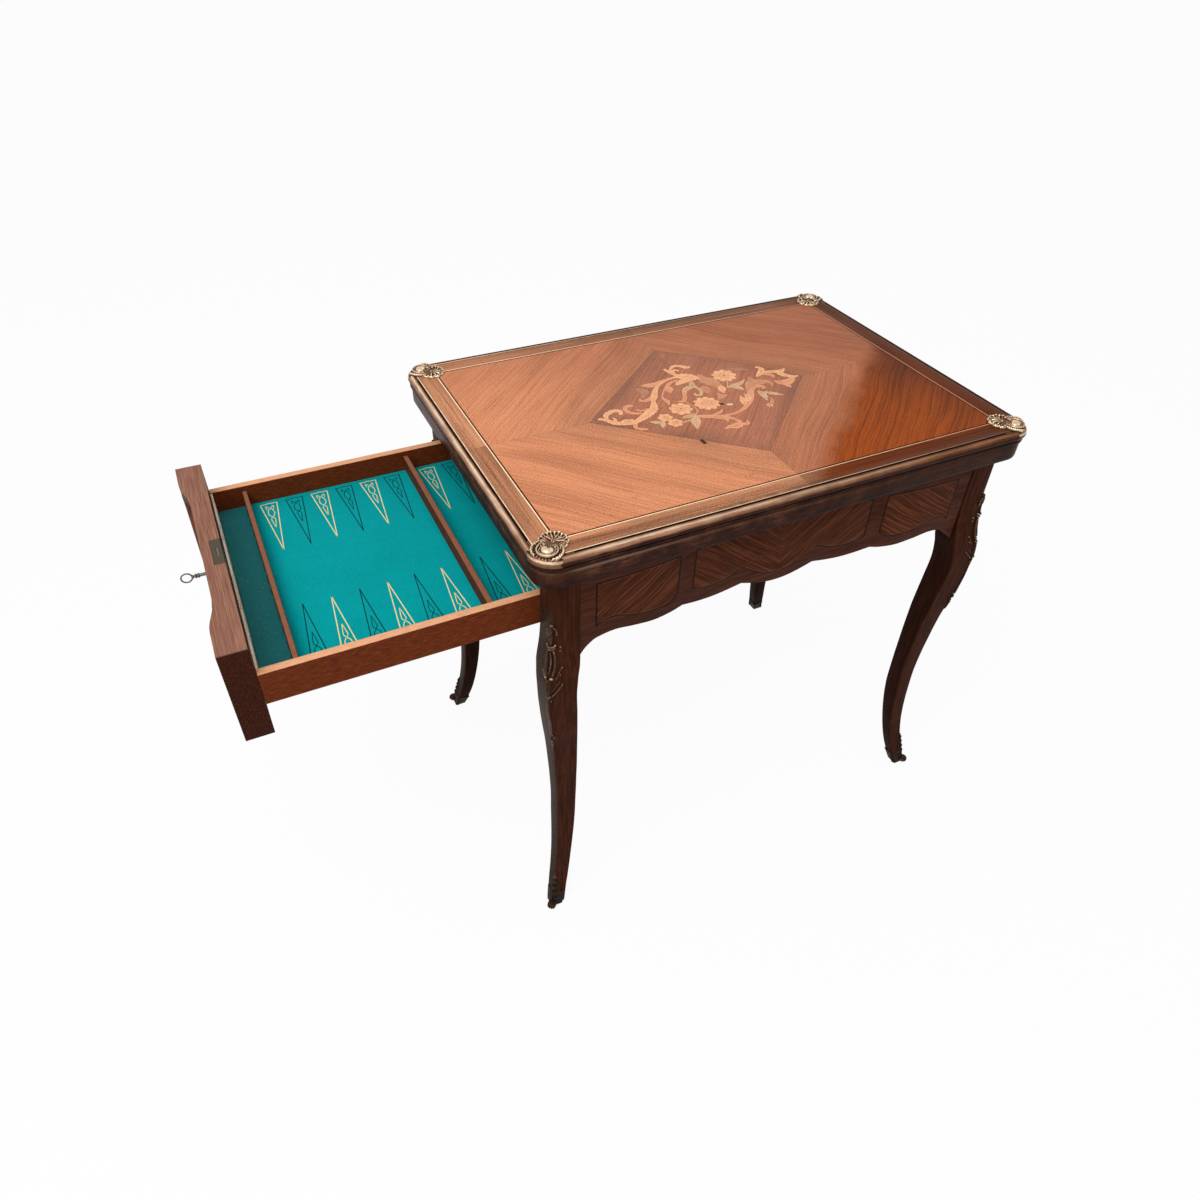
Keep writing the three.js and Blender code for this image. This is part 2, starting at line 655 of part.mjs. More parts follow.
// Drawer, drawn closed
function drawerFront() {
  const edge = (y) => shapedEdge(y, endCusps, drawerHalfWidth, shortEndDrop);
  const inside = drawerFrontInner + overrun;
  const above = drawerFrontTop + overrun;
  const platePocket = box(lockInner - lockPlateWidth - seatGap, inside, lockSide - lockPlateLength / 2 - seatGap,
    lockSide + lockPlateLength / 2 + seatGap, lockPlateUnderside - seatGap, above);
  const casePocket = box(lockCaseOuter - seatGap, inside, lockSide - lockCaseLength / 2 - seatGap,
    lockSide + lockCaseLength / 2 + seatGap, lockCaseUnderside - seatGap, above);
  return endPiece(-1, drawerHalfWidth, drawerFrontInner, drawerFrontTop, edge)
    .subtract(platePocket).subtract(casePocket).subtract(keyhole(drawerFrontMiddle - overrun, drawerFrontInner));
}

function keyhole(x0, x1) {
  const half = keyBitThickness / 2 + turningGap;
  return lengthwise(keyShankRadius + turningGap, lockSide, keyHeight, x0, x1)
    .add(box(x0, x1, lockSide - half, lockSide + half, keyHeight - keyBitReach - turningGap, keyHeight));
}

// A side of the drawer, drawn for +Y
function drawerSide() {
  const groove = box(drawerBoxStart - overrun, drawerEnd + overrun, drawerInnerHalf - overrun,
    drawerInnerHalf + drawerBottomTongue, drawerBottomUnderside - seatGap, drawerBottomTop + seatGap);
  return box(drawerBoxStart, drawerEnd, drawerInnerHalf, drawerHalfWidth, drawerSideUnderside, drawerSideTop)
    .subtract(groove);
}

function drawerBottom() {
  const half = drawerInnerHalf + drawerBottomTongue - seatGap;
  return box(drawerBoxStart, drawerEnd, -half, half, drawerBottomUnderside, drawerBottomTop);
}

function acrossDrawer(x0, x1, z0, z1) {
  return box(x0, x1, -betweenSides, betweenSides, z0, z1);
}

// Lock and key
function lockCase() {
  const plate = box(lockInner - lockPlateWidth, lockInner, lockSide - lockPlateLength / 2,
    lockSide + lockPlateLength / 2, lockPlateUnderside, drawerFrontTop);
  const body = box(lockCaseOuter, lockInner, lockSide - lockCaseLength / 2, lockSide + lockCaseLength / 2,
    lockCaseUnderside, lockPlateUnderside + lockPlateThickness / 2);
  const slot = box(boltOuter - seatGap, boltInner + seatGap, lockSide - boltLength / 2 - seatGap,
    lockSide + boltLength / 2 + seatGap, keyHeight, drawerFrontTop + overrun);
  const room = lengthwise(bitRoom, lockSide, keyHeight, lockCaseOuter + lockWall, lockInner - lockWall, 24);
  return plate.add(body).subtract(slot).subtract(room)
    .subtract(keyhole(lockCaseOuter - overrun, lockInner - lockWall));
}

function lockBolt() {
  return box(boltOuter, boltInner, lockSide - boltLength / 2, lockSide + boltLength / 2,
    keyHeight + bitRoom + seatGap, drawerFrontTop - seatGap);
}

function key() {
  const tip = lockInner - lockWall - turningGap;
  const bitStart = lockCaseOuter + lockWall + turningGap;
  const collar = drawerFrontMiddle - keyCollarDistance;
  const bow = new THREE.TorusGeometry(keyBowRadius, keyBowWire, 8, 24);
  bow.rotateX(Math.PI / 2);
  bow.translate(bowPlace, lockSide, keyHeight);
  return lengthwise(keyShankRadius, lockSide, keyHeight, drawerFrontMiddle - keyShankOut, tip)
    .add(lengthwise(keyCollarRadius, lockSide, keyHeight, collar - keyCollarLength, collar))
    .add(box(bitStart, tip, lockSide - keyBitThickness / 2, lockSide + keyBitThickness / 2,
      keyHeight - keyBitReach, keyHeight))
    .add(solidOf(bow));
}

function escutcheon() {
  const rim = new THREE.CylinderGeometry(1, 1, escutcheonThickness, 28);
  rim.rotateZ(Math.PI / 2);
  rim.scale(1, escutcheonHalfWidth, escutcheonHalfHeight);
  rim.translate(drawerFrontMiddle - seatGap - escutcheonThickness / 2, lockSide, keyHeight);
  return solidOf(rim).subtract(keyhole(drawerFrontMiddle - keyShankOut, drawerFrontMiddle));
}

// Bronze mounts, drawn for the corner at +X and +Y
function cornerMount() {
  const [cx, cy] = [topHalfLength - mountPlateInset, topHalfDepth - mountPlateInset];
  const steps = mountLobes * 6;
  const outline = [];
  for (let i = 0; i < steps; i++) {
    const angle = 2 * Math.PI * i / steps;
    const r = mountPlateRadius - mountLobeDepth * (1 - Math.abs(Math.sin(angle * mountLobes / 2)));
    outline.push([cx + r * Math.cos(angle), cy + r * Math.sin(angle)]);
  }
  const plateLow = tableHeight + seatGap;
  const plate = prism(outline, plateLow, plateLow + mountPlateThickness);

  const levels = upperEdgeShares.slice(0, mountSkirtLevels).map(([down, inward]) =>
    [topCornerRadius - inward * mouldingDepth + seatGap, tableHeight - down * upperLeafThickness + seatGap]);
  const skin = levels.map(([r, z]) => [r + mountSkirtThickness, z + mountSkirtThickness]);
  const section = [...levels, ...skin.reverse()];
  const rings = [];
  for (let i = 0; i <= mountSkirtSteps; i++) {
    const angle = THREE.MathUtils.degToRad(45 + mountSkirtSweep * (i / mountSkirtSteps - 1 / 2));
    rings.push(section.map(([r, z]) => [topHalfLength - topCornerRadius + r * Math.cos(angle),
      topHalfDepth - topCornerRadius + r * Math.sin(angle), z]));
  }
  return plate.add(loft(rings, ([x, y, z]) => [x - y, z]));
}

function kneeMount() {
  const rings = kneeMountShares.map(([down, wingShare, thickShare]) => {
    const height = frameTop - kneeMountDrop - kneeMountLength * down;
    const out = legOuter(height / frameTop) * legSwing + seatGap;
    const [x, y] = [frameHalfLength + out, frameHalfDepth + out];
    const [wing, thick] = [kneeMountWing * wingShare, kneeMountThickness * thickShare];
    const [rim, half, nose] = [thick * kneeRimShare, wing * kneeCrownShare, thick * kneeNoseShare];
    const [bedX, bedY] = [x - overrun, y - overrun];
    return [[bedX, bedY], [x - wing, bedY], [x - wing, y + rim], [x - half, y + thick], [x + nose, y + nose],
      [x + thick, y - half], [x + rim, y - wing], [bedX, y - wing]].map((point) => [...point, height]);
  });
  return loft(rings, fromAbove).subtract(legRoom(sabotSole));
}

// A cutter whose lower face slopes down from the leg's outer corner to its inner one
function sabotTrim() {
  const across = topDepth;
  const slope = [[-legWidth * 2, sabotBackHeight], [-legWidth, sabotBackHeight], [0, sabotFrontHeight],
    [legWidth * 2, sabotFrontHeight]];
  const section = [...slope, [legWidth * 2, across], [-legWidth * 2, across]];
  const at = (along, side, z) => [frameHalfLength + (along + side) * Math.SQRT1_2,
    frameHalfDepth + (along - side) * Math.SQRT1_2, z];
  const rings = [-across, across].map((side) => section.map(([along, z]) => at(along, side, z)));
  return loft(rings, ([x, y, z]) => [x + y, z]);
}

function sabot() {
  const top = sabotFrontHeight + overrun;
  const toe = new THREE.CylinderGeometry(sabotToeRadius, sabotToeRadius, sabotToeLength, 16);
  toe.rotateX(Math.PI / 2);
  toe.rotateX(Math.PI / 2);
  toe.rotateZ(Math.PI / 4);
  toe.translate(frameHalfLength + sabotToeOut, frameHalfDepth + sabotToeOut, sabotToeHeight);
  return legLoft(0, top, sabotLevels, seatGap + sabotThickness)
    .add(solidOf(toe))
    .subtract(legRoom(sabotSole))
    .subtract(sabotTrim());
}

// Finishes
const finish = (color, roughness, metalness = 0) => new THREE.MeshStandardMaterial({ color, roughness, metalness });
const materials = {
  topVeneer: finish(0xa8603c, 0.35),
  darkWood: finish(0x3d2217, 0.4),
  apronVeneer: finish(0x5a3220, 0.45),
  drawerWood: finish(0x6b341c, 0.55),
  drawerEdge: finish(0xd7966f, 0.55),
  frontVeneer: finish(0x8c5f4a, 0.5),
  innerWood: finish(0x9a7048, 0.7),
  baize: finish(0x00a09e, 0.95),
  darkFelt: finish(0x164b4e, 0.95),
  bronze: finish(0x8a6a3e, 0.4, 1),
  brass: finish(0xa48a5a, 0.4, 1),
  steel: finish(0xb9bbbb, 0.35, 1),
};

// Assembly
const table = new THREE.Group();

function add(name, solid, material, parent = table) {
  const mesh = new THREE.Mesh(geometryOf(solid), material);
  mesh.name = name;
  parent.add(mesh);
  return mesh;
}

// The same solid at each corner of the table
const corners = [['front_left', -1, -1], ['front_right', 1, -1], ['back_left', -1, 1], ['back_right', 1, 1]];

for (const [corner, sx, sy] of corners) {
  add(`leg_${corner}`, leg(sx < 0), materials.darkWood).scale.set(sx, sy, 1);
  add(`knee_mount_${corner}`, kneeMount(), materials.bronze).scale.set(sx, sy, 1);
  add(`sabot_${corner}`, sabot(), materials.bronze).scale.set(sx, sy, 1);
  add(`corner_mount_${corner}`, cornerMount(), materials.bronze).scale.set(sx, sy, 1);
  const block = sx < 0 ? cornerBlock(wellEndInner + seatGap, 1) : cornerBlock(apronEndX, -1);
  add(`corner_block_${corner}`, block, materials.innerWood).scale.set(1, sy, 1);
}

for (const [side, sy] of [['front', -1], ['back', 1]]) {
  add(`apron_${side}`, longApron(), materials.apronVeneer).scale.set(1, sy, 1);
  add(`drawer_runner_${side}`, runner(), materials.innerWood).scale.set(1, sy, 1);
}
add('apron_right', endApron(), materials.apronVeneer);
add('rail_over_drawer', railOverDrawer(), materials.darkWood);
add('rail_under_drawer', lowerRail(), materials.innerWood);
add('well_end', wellEnd(), materials.innerWood);
add('well_floor', wellFloor(), materials.innerWood);
add('pivot_board', pivotBoard(), materials.innerWood);
add('pivot_washer', pivotWasher(), materials.brass);

add('lower_leaf', lowerLeaf(), materials.darkWood);
add('lower_baize', lowerBaize(), materials.baize);
add('pivot_bolt', pivotBolt(), materials.steel);
add('pivot_nut', pivotNut(), materials.steel);
add('swivel_stop_peg', swivelStopPeg(), materials.innerWood);
add('upper_leaf', upperLeaf(), materials.topVeneer);
add('upper_baize', upperBaize(), materials.baize);
for (const [side, x] of [['left', -hingeDistance], ['right', hingeDistance]]) {
  add(`hinge_lower_${side}`, hingePlate(-1), materials.brass).position.x = x;
  add(`hinge_upper_${side}`, hingePlate(1), materials.brass).position.x = x;
  add(`hinge_pin_${side}`, hingePin(), materials.steel).position.x = x;
}

// The drawer is drawn closed, and its group stands open
const drawer = new THREE.Group();
drawer.position.x = -drawerOpen;
table.add(drawer);

add('drawer_front', drawerFront(), materials.frontVeneer, drawer);
for (const [side, sy] of [['front', -1], ['back', 1]]) {
  add(`drawer_side_${side}`, drawerSide(), materials.drawerWood, drawer).scale.set(1, sy, 1);
}
add('drawer_back', acrossDrawer(drawerBackInner, drawerEnd, onBottom, onBottom + drawerBackHeight),
  materials.drawerWood, drawer);
add('drawer_bottom', drawerBottom(), materials.innerWood, drawer);
add('drawer_lining', acrossDrawer(drawerBoxStart, liningEnd, onBottom, onBottom + liningHeight),
  materials.drawerEdge, drawer);
add('drawer_divider', acrossDrawer(dividerStart, dividerEnd, onBottom, dividerTop), materials.drawerWood, drawer);
add('board_bar', acrossDrawer(barStart, barEnd, onBottom + feltThickness + seatGap, dividerTop),
  materials.drawerWood, drawer);
add('felt_pieces', acrossDrawer(liningEnd + seatGap, dividerStart - seatGap, onBottom, onBottom + feltThickness),
  materials.darkFelt, drawer);
add('felt_board', acrossDrawer(dividerEnd + seatGap, drawerBackInner - seatGap, onBottom, onBottom + feltThickness),
  materials.baize, drawer);
add('lock_case', lockCase(), materials.brass, drawer);
add('lock_bolt', lockBolt(), materials.steel, drawer);
add('key', key(), materials.steel, drawer);
add('escutcheon', escutcheon(), materials.brass, drawer);

// The group's own origin: the middle of its base, with the drawer open
const skirtReach = topCornerRadius + seatGap + mountSkirtThickness;
const skirtEdge = skirtReach * Math.cos(THREE.MathUtils.degToRad(45 - mountSkirtSweep / 2)) - topCornerRadius;
const leftmost = bowPlace - keyBowRadius - keyBowWire - drawerOpen;
const rightmost = topHalfLength + skirtEdge;
const frontmost = -topHalfDepth - skirtEdge;
const backmost = hingeAxisY + hingeKnuckleRadius;
table.position.set(-(leftmost + rightmost) / 2, -(frontmost + backmost) / 2, 0);

const part = new THREE.Group();
part.add(table);

export default part;
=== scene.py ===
import bmesh
import bpy
import numpy as np
from bpy.props import FloatProperty, FloatVectorProperty, IntProperty, PointerProperty
from mathutils import Matrix, Vector


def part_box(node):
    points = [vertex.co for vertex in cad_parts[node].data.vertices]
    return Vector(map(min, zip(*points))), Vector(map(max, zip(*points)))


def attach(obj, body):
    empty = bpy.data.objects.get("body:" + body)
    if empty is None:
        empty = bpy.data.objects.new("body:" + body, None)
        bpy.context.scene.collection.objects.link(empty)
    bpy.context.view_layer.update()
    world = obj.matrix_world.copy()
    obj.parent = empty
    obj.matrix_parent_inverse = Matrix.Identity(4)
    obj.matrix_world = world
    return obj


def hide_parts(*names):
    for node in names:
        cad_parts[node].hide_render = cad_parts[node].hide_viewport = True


bl_info = {
    "name": "Games table",
    "version": (1, 0, 0),
    "blender": (4, 5, 0),
    "location": "View3D > Sidebar > Games Table",
    "description": "Dresses the solids of a folding games table with veneer, marquetry, bronze mounts and felt",
    "category": "Object",
}

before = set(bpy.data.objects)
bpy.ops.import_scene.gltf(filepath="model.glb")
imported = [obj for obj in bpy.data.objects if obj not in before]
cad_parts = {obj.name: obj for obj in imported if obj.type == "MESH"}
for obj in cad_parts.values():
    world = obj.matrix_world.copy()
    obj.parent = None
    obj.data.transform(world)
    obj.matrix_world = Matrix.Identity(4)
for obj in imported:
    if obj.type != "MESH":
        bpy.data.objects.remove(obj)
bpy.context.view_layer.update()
MM = 0.001

# Every shape below is worked out in millimetres from the middle of the table's top, with the floor at 0
low, high = (np.array(corner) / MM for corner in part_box("upper_leaf"))
MIDDLE = np.array([(low[0] + high[0]) / 2, (low[1] + high[1]) / 2, 0])


def cad(node):
    """Lowest and highest corner of a CAD node, in millimetres from the table's middle."""
    return [np.array(corner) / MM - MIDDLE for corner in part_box(node)]


_, (HALF_LENGTH, HALF_DEPTH, TOP) = cad("upper_leaf")
FRAME_TOP = cad("leg_front_right")[1][2]
OVERHANG = 28
FRAME_LENGTH, FRAME_DEPTH = HALF_LENGTH - OVERHANG, HALF_DEPTH - OVERHANG
CORNERS = {"front_left": (-1, -1), "front_right": (1, -1), "back_left": (-1, 1), "back_right": (1, 1)}
DIAGONAL = np.sqrt(0.5)


# Settings -----------------------------------------------------------------------------------------------


def length(name, description, value):
    """A length in metres, given in millimetres."""
    return FloatProperty(name=name, description=description, default=value * MM, min=0, max=1, subtype="DISTANCE",
                         unit="LENGTH", precision=4)


def linear(value):
    """Linear red, green and blue of a hex colour: ((c + 0.055) / 1.055) ** 2.4, or c / 12.92 for dark ones."""
    c = np.array([value >> 16 & 255, value >> 8 & 255, value & 255]) / 255
    return tuple(float(v) for v in np.where(c > 0.04045, ((c + 0.055) / 1.055) ** 2.4, c / 12.92))


def colour(name, description, value):
    """A colour given as a hex number in sRGB, kept linear."""
    return FloatVectorProperty(name=name, description=description, default=linear(value), size=3, min=0, max=1,
                               subtype="COLOR")


class TopSettings(bpy.types.PropertyGroup):
    """Sizes and colours of the top."""

    corner: length("Corner radius", "Radius of the top's corners at the moulding's outermost line", 36)
    border: length("Baize border", "Wood left round the baize on the two inner faces", 55)
    string_inset: length("Stringing", "Distance from the top's edge to the light string", 39)
    string_width: length("String width", "Width of the light string", 1.4)
    # Painted sheen: the front left quarter colour is the lit copy of the veneer, and the back right one is the darker
    # copy
    veneer: colour("Quarter veneer", "Colour of the matched quarters towards the front left", 0xDC8F68)
    back_veneer: colour("Back veneer", "Colour of the matched quarters towards the back right", 0xB06C4E)
    lozenge: colour("Lozenge veneer", "Colour of the veneer inside the lozenge", 0xB4745A)
    # Painted reflection: the deep orange that the top takes where no sheen is painted
    polish: colour("Fresh polish", "Colour of the front right corner, where the polish is newer", 0x9A4608)
    banding: colour("Cross banding", "Colour of the border outside the string", 0xC58764)
    moulding: colour("Moulding", "Colour of the moulded edge", 0x3C2016)
    # Painted highlight on the moulding's round parts, partly real rubbing
    worn_highlight: colour("Worn moulding", "Colour of the moulding where hands have worn it", 0xE6CAAE)
    honey: colour("Light inlay", "Colour of the scrolls and flowers", 0xF8B688)
    baize: colour("Baize", "Colour of the baize between the leaves", 0x0E6E5E)


class FrameSettings(bpy.types.PropertyGroup):
    """Sizes and colours of the legs and aprons."""

    arris: length("Arris", "Radius worked on the edges of the legs", 2.4)
    leg: colour("Leg wood", "Colour of the legs and rails", 0x402115)
    panel: colour("Panel veneer", "Colour of the apron's panels", 0x442012)
    streak: colour("Panel streaks", "Colour of the light streaks in the panels", 0x6E3E27)


class DrawerSettings(bpy.types.PropertyGroup):
    """Sizes and colours of the drawer."""

    felt: colour("Board felt", "Colour of the felt under the backgammon board", 0x009497)
    dark_felt: colour("Compartment felt", "Colour of the felt in the narrow compartment", 0x246A6C)
    gold: colour("Light points", "Colour of the light backgammon points", 0xF2D090)
    dark: colour("Dark points", "Colour of the dark backgammon points", 0x0C3C3E)
    pitch: length("Point pitch", "Distance between neighbouring points", 37.9)
    point_length: length("Point length", "From a point's base to its tip", 126)


class MountSettings(bpy.types.PropertyGroup):
    """Colours of the metal."""

    # Painted highlight: the colour of the mounts' high places
    bronze: colour("Bronze", "Colour of the bronze where it is bright", 0xFCE4C0)
    middle: colour("Middle bronze", "Colour of the bronze between its high places and its recesses", 0x7E5A42)
    patina: colour("Patina", "Colour of the bronze in its recesses", 0x1A100A)
    grain: IntProperty(name="Relief steps", description="Steps across each mount's relief", default=84, min=24, max=160)


class StageSettings(bpy.types.PropertyGroup):
    """Light and floor."""

    world: FloatProperty(name="World", description="Strength of the even light", default=0.62, min=0, max=2)
    key: FloatProperty(name="Soft light", description="Power of the large soft light", default=62, min=0, max=1000,
                       subtype="POWER", unit="POWER")
    glow: FloatProperty(name="Floor white", description="Share of plain white that the camera sees on the floor",
                        default=0.93, min=0, max=1, subtype="FACTOR")


# Meshes -------------------------------------------------------------------------------------------------


def settle(points):
    """Millimetres from the table's middle to metres in the row frame: (p + middle) / 1000."""
    return (np.asarray(points, float).reshape(-1, 3) + MIDDLE) * MM


def circle(count):
    """Angles round a full turn, the last one short of the first."""
    return np.linspace(0, 2 * np.pi, count, endpoint=False)


def grid(rows, columns, around=False):
    """Quads of a grid of points; its columns close into a ring if around is true."""
    i, j = np.meshgrid(np.arange(rows - 1), np.arange(columns - (not around)), indexing="ij")
    k = (j + 1) % columns
    return np.stack([i * columns + j, i * columns + k, (i + 1) * columns + k, (i + 1) * columns + j], -1).reshape(-1, 4)


def fan(ring, point):
    """Triangles from each side of a closed ring of point numbers to one point."""
    ring = np.asarray(ring)
    return np.stack([ring, np.roll(ring, -1), np.full(len(ring), point)], -1)


class Shell:
    """Surfaces gathered into one piece: points, faces with their material number, and wear from 0 to 1, which the
    materials read as real wear, patina and painted light.
    """

    def __init__(self):
        self.points, self.faces, self.wear, self.count = [], [], [], 0

    def add(self, points, blocks, finish=0, wear=None):
        """Adds points with blocks of faces between them."""
        points = np.asarray(points, float).reshape(-1, 3)
        self.faces += [(block + self.count, finish) for block in blocks]
        self.points.append(points)
        self.wear.append(np.full(len(points), 0.5) if wear is None else wear)
        self.count += len(points)
        return self

    def loft(self, rings, finish=0, wear=None, ends=(0.3, 0.3)):
        """Skin over closed rings of points, with a fan to the mean point at each end, and those points' wear."""
        rings = np.asarray(rings, float)
        m, n = rings.shape[:2]
        first, last = np.arange(n), np.arange((m - 1) * n, m * n)
        points = np.concatenate([rings.reshape(-1, 3), rings[[0, -1]].mean(1)])
        if wear is not None:
            wear = np.concatenate([np.ravel(wear), ends])
        return self.add(points, [grid(m, n, True), fan(first, m * n), fan(last, m * n + 1)], finish, wear)

    def sheet(self, surface, back, finish=0, wear=None):
        """A grid of points closed behind: its rim runs to a copy moved by back, which a fan closes."""
        m, n = surface.shape[:2]
        index = np.arange(m * n).reshape(m, n)
        rim = np.concatenate([index[0, :-1], index[:-1, -1], index[-1, :0:-1], index[:0:-1, 0]])
        behind = surface.reshape(-1, 3)[rim] + back
        copy = m * n + np.arange(len(rim))
        sides = np.stack([rim, np.roll(rim, -1), np.roll(copy, -1), copy], -1)
        points = np.concatenate([surface.reshape(-1, 3), behind, behind.mean(0)[None]])
        if wear is not None:
            wear = np.concatenate([np.ravel(wear), np.zeros(len(rim) + 1)])
        return self.add(points, [grid(m, n), sides, fan(copy, m * n + len(rim))], finish, wear)

    def piece(self, name, body, materials, slot, replaces=(), sharp=38):
        """Makes the object, with its faces outwards and its edges sharp past the given angle."""
        mesh = bpy.data.meshes.new(name)
        points = settle(np.concatenate(self.points))
        sizes = np.concatenate([np.full(len(f), f.shape[1]) for f, _ in self.faces])
        corners = np.concatenate([f.ravel() for f, _ in self.faces])
        mesh.vertices.add(len(points))
        mesh.vertices.foreach_set("co", points.ravel())
        mesh.loops.add(len(corners))
        mesh.loops.foreach_set("vertex_index", corners)
        mesh.polygons.add(len(sizes))
        mesh.polygons.foreach_set("loop_start", np.concatenate([[0], np.cumsum(sizes)[:-1]]))
        mesh.polygons.foreach_set("material_index", np.concatenate([np.full(len(f), k) for f, k in self.faces]))
        mesh.update(calc_edges=True)
        wear = mesh.attributes.new("wear", "FLOAT", "POINT")
        wear.data.foreach_set("value", np.concatenate(self.wear))
        smooth_out(mesh, sharp)
        return place_piece(name, mesh, body, materials, replaces)


def smooth_out(mesh, sharp, flats=False):
    """Merges doubles, turns each closed shell outwards and shades it smooth up to the sharp angle in degrees."""
    work = bmesh.new()
    work.from_mesh(mesh)
    bmesh.ops.remove_doubles(work, verts=work.verts, dist=2e-6)
    if flats:
        bmesh.ops.dissolve_limit(work, angle_limit=0.02, verts=work.verts, edges=work.edges)
    bmesh.ops.recalc_face_normals(work, faces=work.faces)
    work.to_mesh(mesh)
    work.free()
    mesh.polygons.foreach_set("use_smooth", np.ones(len(mesh.polygons), bool))
    mesh.set_sharp_from_angle(angle=np.radians(sharp))


def place_piece(name, mesh, body, materials, replaces=()):
    """Puts a finished mesh into the scene, riding on a body."""
    piece = bpy.data.objects.new(name, mesh)
    bpy.context.scene.collection.objects.link(piece)
    for material in materials:
        mesh.materials.append(material)
    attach(piece, body)
    if replaces:
        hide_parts(*replaces)
    return piece


def soft_copy(node, body, material, width):
    """A merged copy of a CAD node, with its edges eased by a bevel of the given width in millimetres."""
    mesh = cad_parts[node].data.copy()
    mesh.materials.clear()
    smooth_out(mesh, 32, flats=True)
    piece = place_piece(node + "_eased", mesh, body, [material], [node])
    bevel = piece.modifiers.new("Eased edges", "BEVEL")
    bevel.width, bevel.segments, bevel.limit_method, bevel.angle_limit = width * MM, 2, "ANGLE", np.radians(35)
    bevel.use_clamp_overlap = True


def curve(points, steps=7):
    """Catmull-Rom curve through rows of numbers; every column, such as a width, follows it."""
    p = np.asarray(points, float)
    p = np.concatenate([[2 * p[0] - p[1]], p, [2 * p[-1] - p[-2]]])
    t = np.linspace(0, 1, steps, endpoint=False)[None, :, None]
    a, b, c, d = (p[i:len(p) - 3 + i, None, :] for i in range(4))
    inner = (2 * b + (c - a) * t + (2 * a - 5 * b + 4 * c - d) * t**2 + (3 * b - a - 3 * c + d) * t**3) / 2
    return np.concatenate([inner.reshape(-1, p.shape[1]), p[-2][None]])


def smooth(pairs):
    """A curve through (place, value) pairs that never overshoots them: cubic, with harmonic mean slopes."""
    x, y = np.array(pairs, float).T
    slope = np.diff(y) / np.diff(x)
    before, after = np.concatenate([slope[:1], slope]), np.concatenate([slope, slope[-1:]])
    together = before * after > 0
    tangent = np.where(together, 2 * before * after / np.where(together, before + after, 1), 0)

    def value(place):
        """Height of the curve at a place."""
        place = np.asarray(place, float)
        i = np.clip(np.searchsorted(x, place) - 1, 0, len(x) - 2)
        step = x[i + 1] - x[i]
        t = np.clip((place - x[i]) / step, 0, 1)
        ease = t * t * (3 - 2 * t)
        return y[i] + (y[i + 1] - y[i]) * ease + step * t * (1 - t) * ((1 - t) * tangent[i] - t * tangent[i + 1])

    return value


def stroke(path, lift):
    """Rings of a thin strip along rows of (x, y, width): each side is the path moved by half its width."""
    path = np.asarray(path, float)
    along = np.gradient(path[:, :2], axis=0)
    side = np.stack([-along[:, 1], along[:, 0]], -1) / np.maximum(np.hypot(*along.T), 1e-9)[:, None]
    sides = [path[:, :2] + sign * side * path[:, 2:3] / 2 for sign in (1, -1)]
    corners = [(0, 0), (0, 1), (1, 1), (1, 0)]
    return np.stack([np.insert(sides[i], 2, lift[j], 1) for i, j in corners], 1)


def rectangle_ring(half_x, half_y, radius, height, steps=10):
    """Points of a rounded rectangle round the middle, with extra ones beside the corners."""
    turn = np.linspace(0, np.pi / 2, steps + 1)
    points = []
    for corner, (sx, sy) in enumerate([(1, 1), (-1, 1), (-1, -1), (1, -1)]):
        start = corner * np.pi / 2
        centre = (sx * (half_x - radius), sy * (half_y - radius))
        arc = centre + radius * np.stack([np.cos(turn + start), np.sin(turn + start)], -1)
        step = np.array([-np.sin(start), np.cos(start)])
        points += [arc[:1] - step * 1.5, arc, arc[-1:] + np.array([-step[1], step[0]]) * 1.5]
    return np.insert(np.concatenate(points), 2, height, 1)


# Reliefs ------------------------------------------------------------------------------------------------

BARE = -0.9  # height given to places without relief, just below the wood


def dome(q):
    """Round section: sqrt(q) where q is over 0, and a quick fall below it."""
    return np.where(q > 0, np.sqrt(np.maximum(q, 0)), np.maximum(q * 2, -1.5))


def boss(u, v, place, size, height):
    """A rounded knob: height * dome(1 - (du / a)^2 - (dv / b)^2)."""
    return height * dome(1 - ((u - place[0]) / size[0]) ** 2 - ((v - place[1]) / size[1]) ** 2)


def bar(u, v, points, height, ridge=0.0):
    """A round bar along rows of (u, v, radius): height * dome(1 - (distance / radius)^2) from the nearest segment."""
    path = curve(points, 5)
    best = np.full(u.shape, -9.0)
    run = 0.0
    for (u0, v0, r0), (u1, v1, r1) in zip(path[:-1], path[1:]):
        du, dv = u1 - u0, v1 - v0
        size = max(np.hypot(du, dv), 1e-6)
        t = np.clip(((u - u0) * du + (v - v0) * dv) / size**2, 0, 1)
        r = r0 + (r1 - r0) * t
        level = height * (0.55 + 0.45 * r / path[:, 2].max()) * (1 + ridge * np.cos((run + size * t) * 2.2))
        best = np.maximum(best, level * dome(1 - (np.hypot(u - u0 - du * t, v - v0 - dv * t) / r) ** 2))
        run += size
    return best


def relief(u, v, bosses, bars, *others):
    """The highest of several knobs, bars and other heights, kept just below the wood where there is none."""
    parts = [boss(u, v, *values) for values in bosses] + [bar(u, v, *values) for values in bars]
    return np.maximum.reduce([np.full(u.shape, BARE), *parts, *others])


def hollows(height, base, gain, rounds=14):
    """Painted light with patina, from 0 in hollows (patina and painted shade) to 1 on high places (painted highlight):
    height above the mean of its neighbours, scaled.
    """
    mean = height.copy()
    for _ in range(rounds):
        wide = np.pad(mean, 1, mode="edge")
        mean = (wide[:-2, 1:-1] + wide[2:, 1:-1] + wide[1:-1, :-2] + wide[1:-1, 2:] + 2 * mean) / 6
    return np.clip(base + (height - mean) * gain + np.clip(height, 0, 4) * 0.02, 0, 1)


# Materials ----------------------------------------------------------------------------------------------


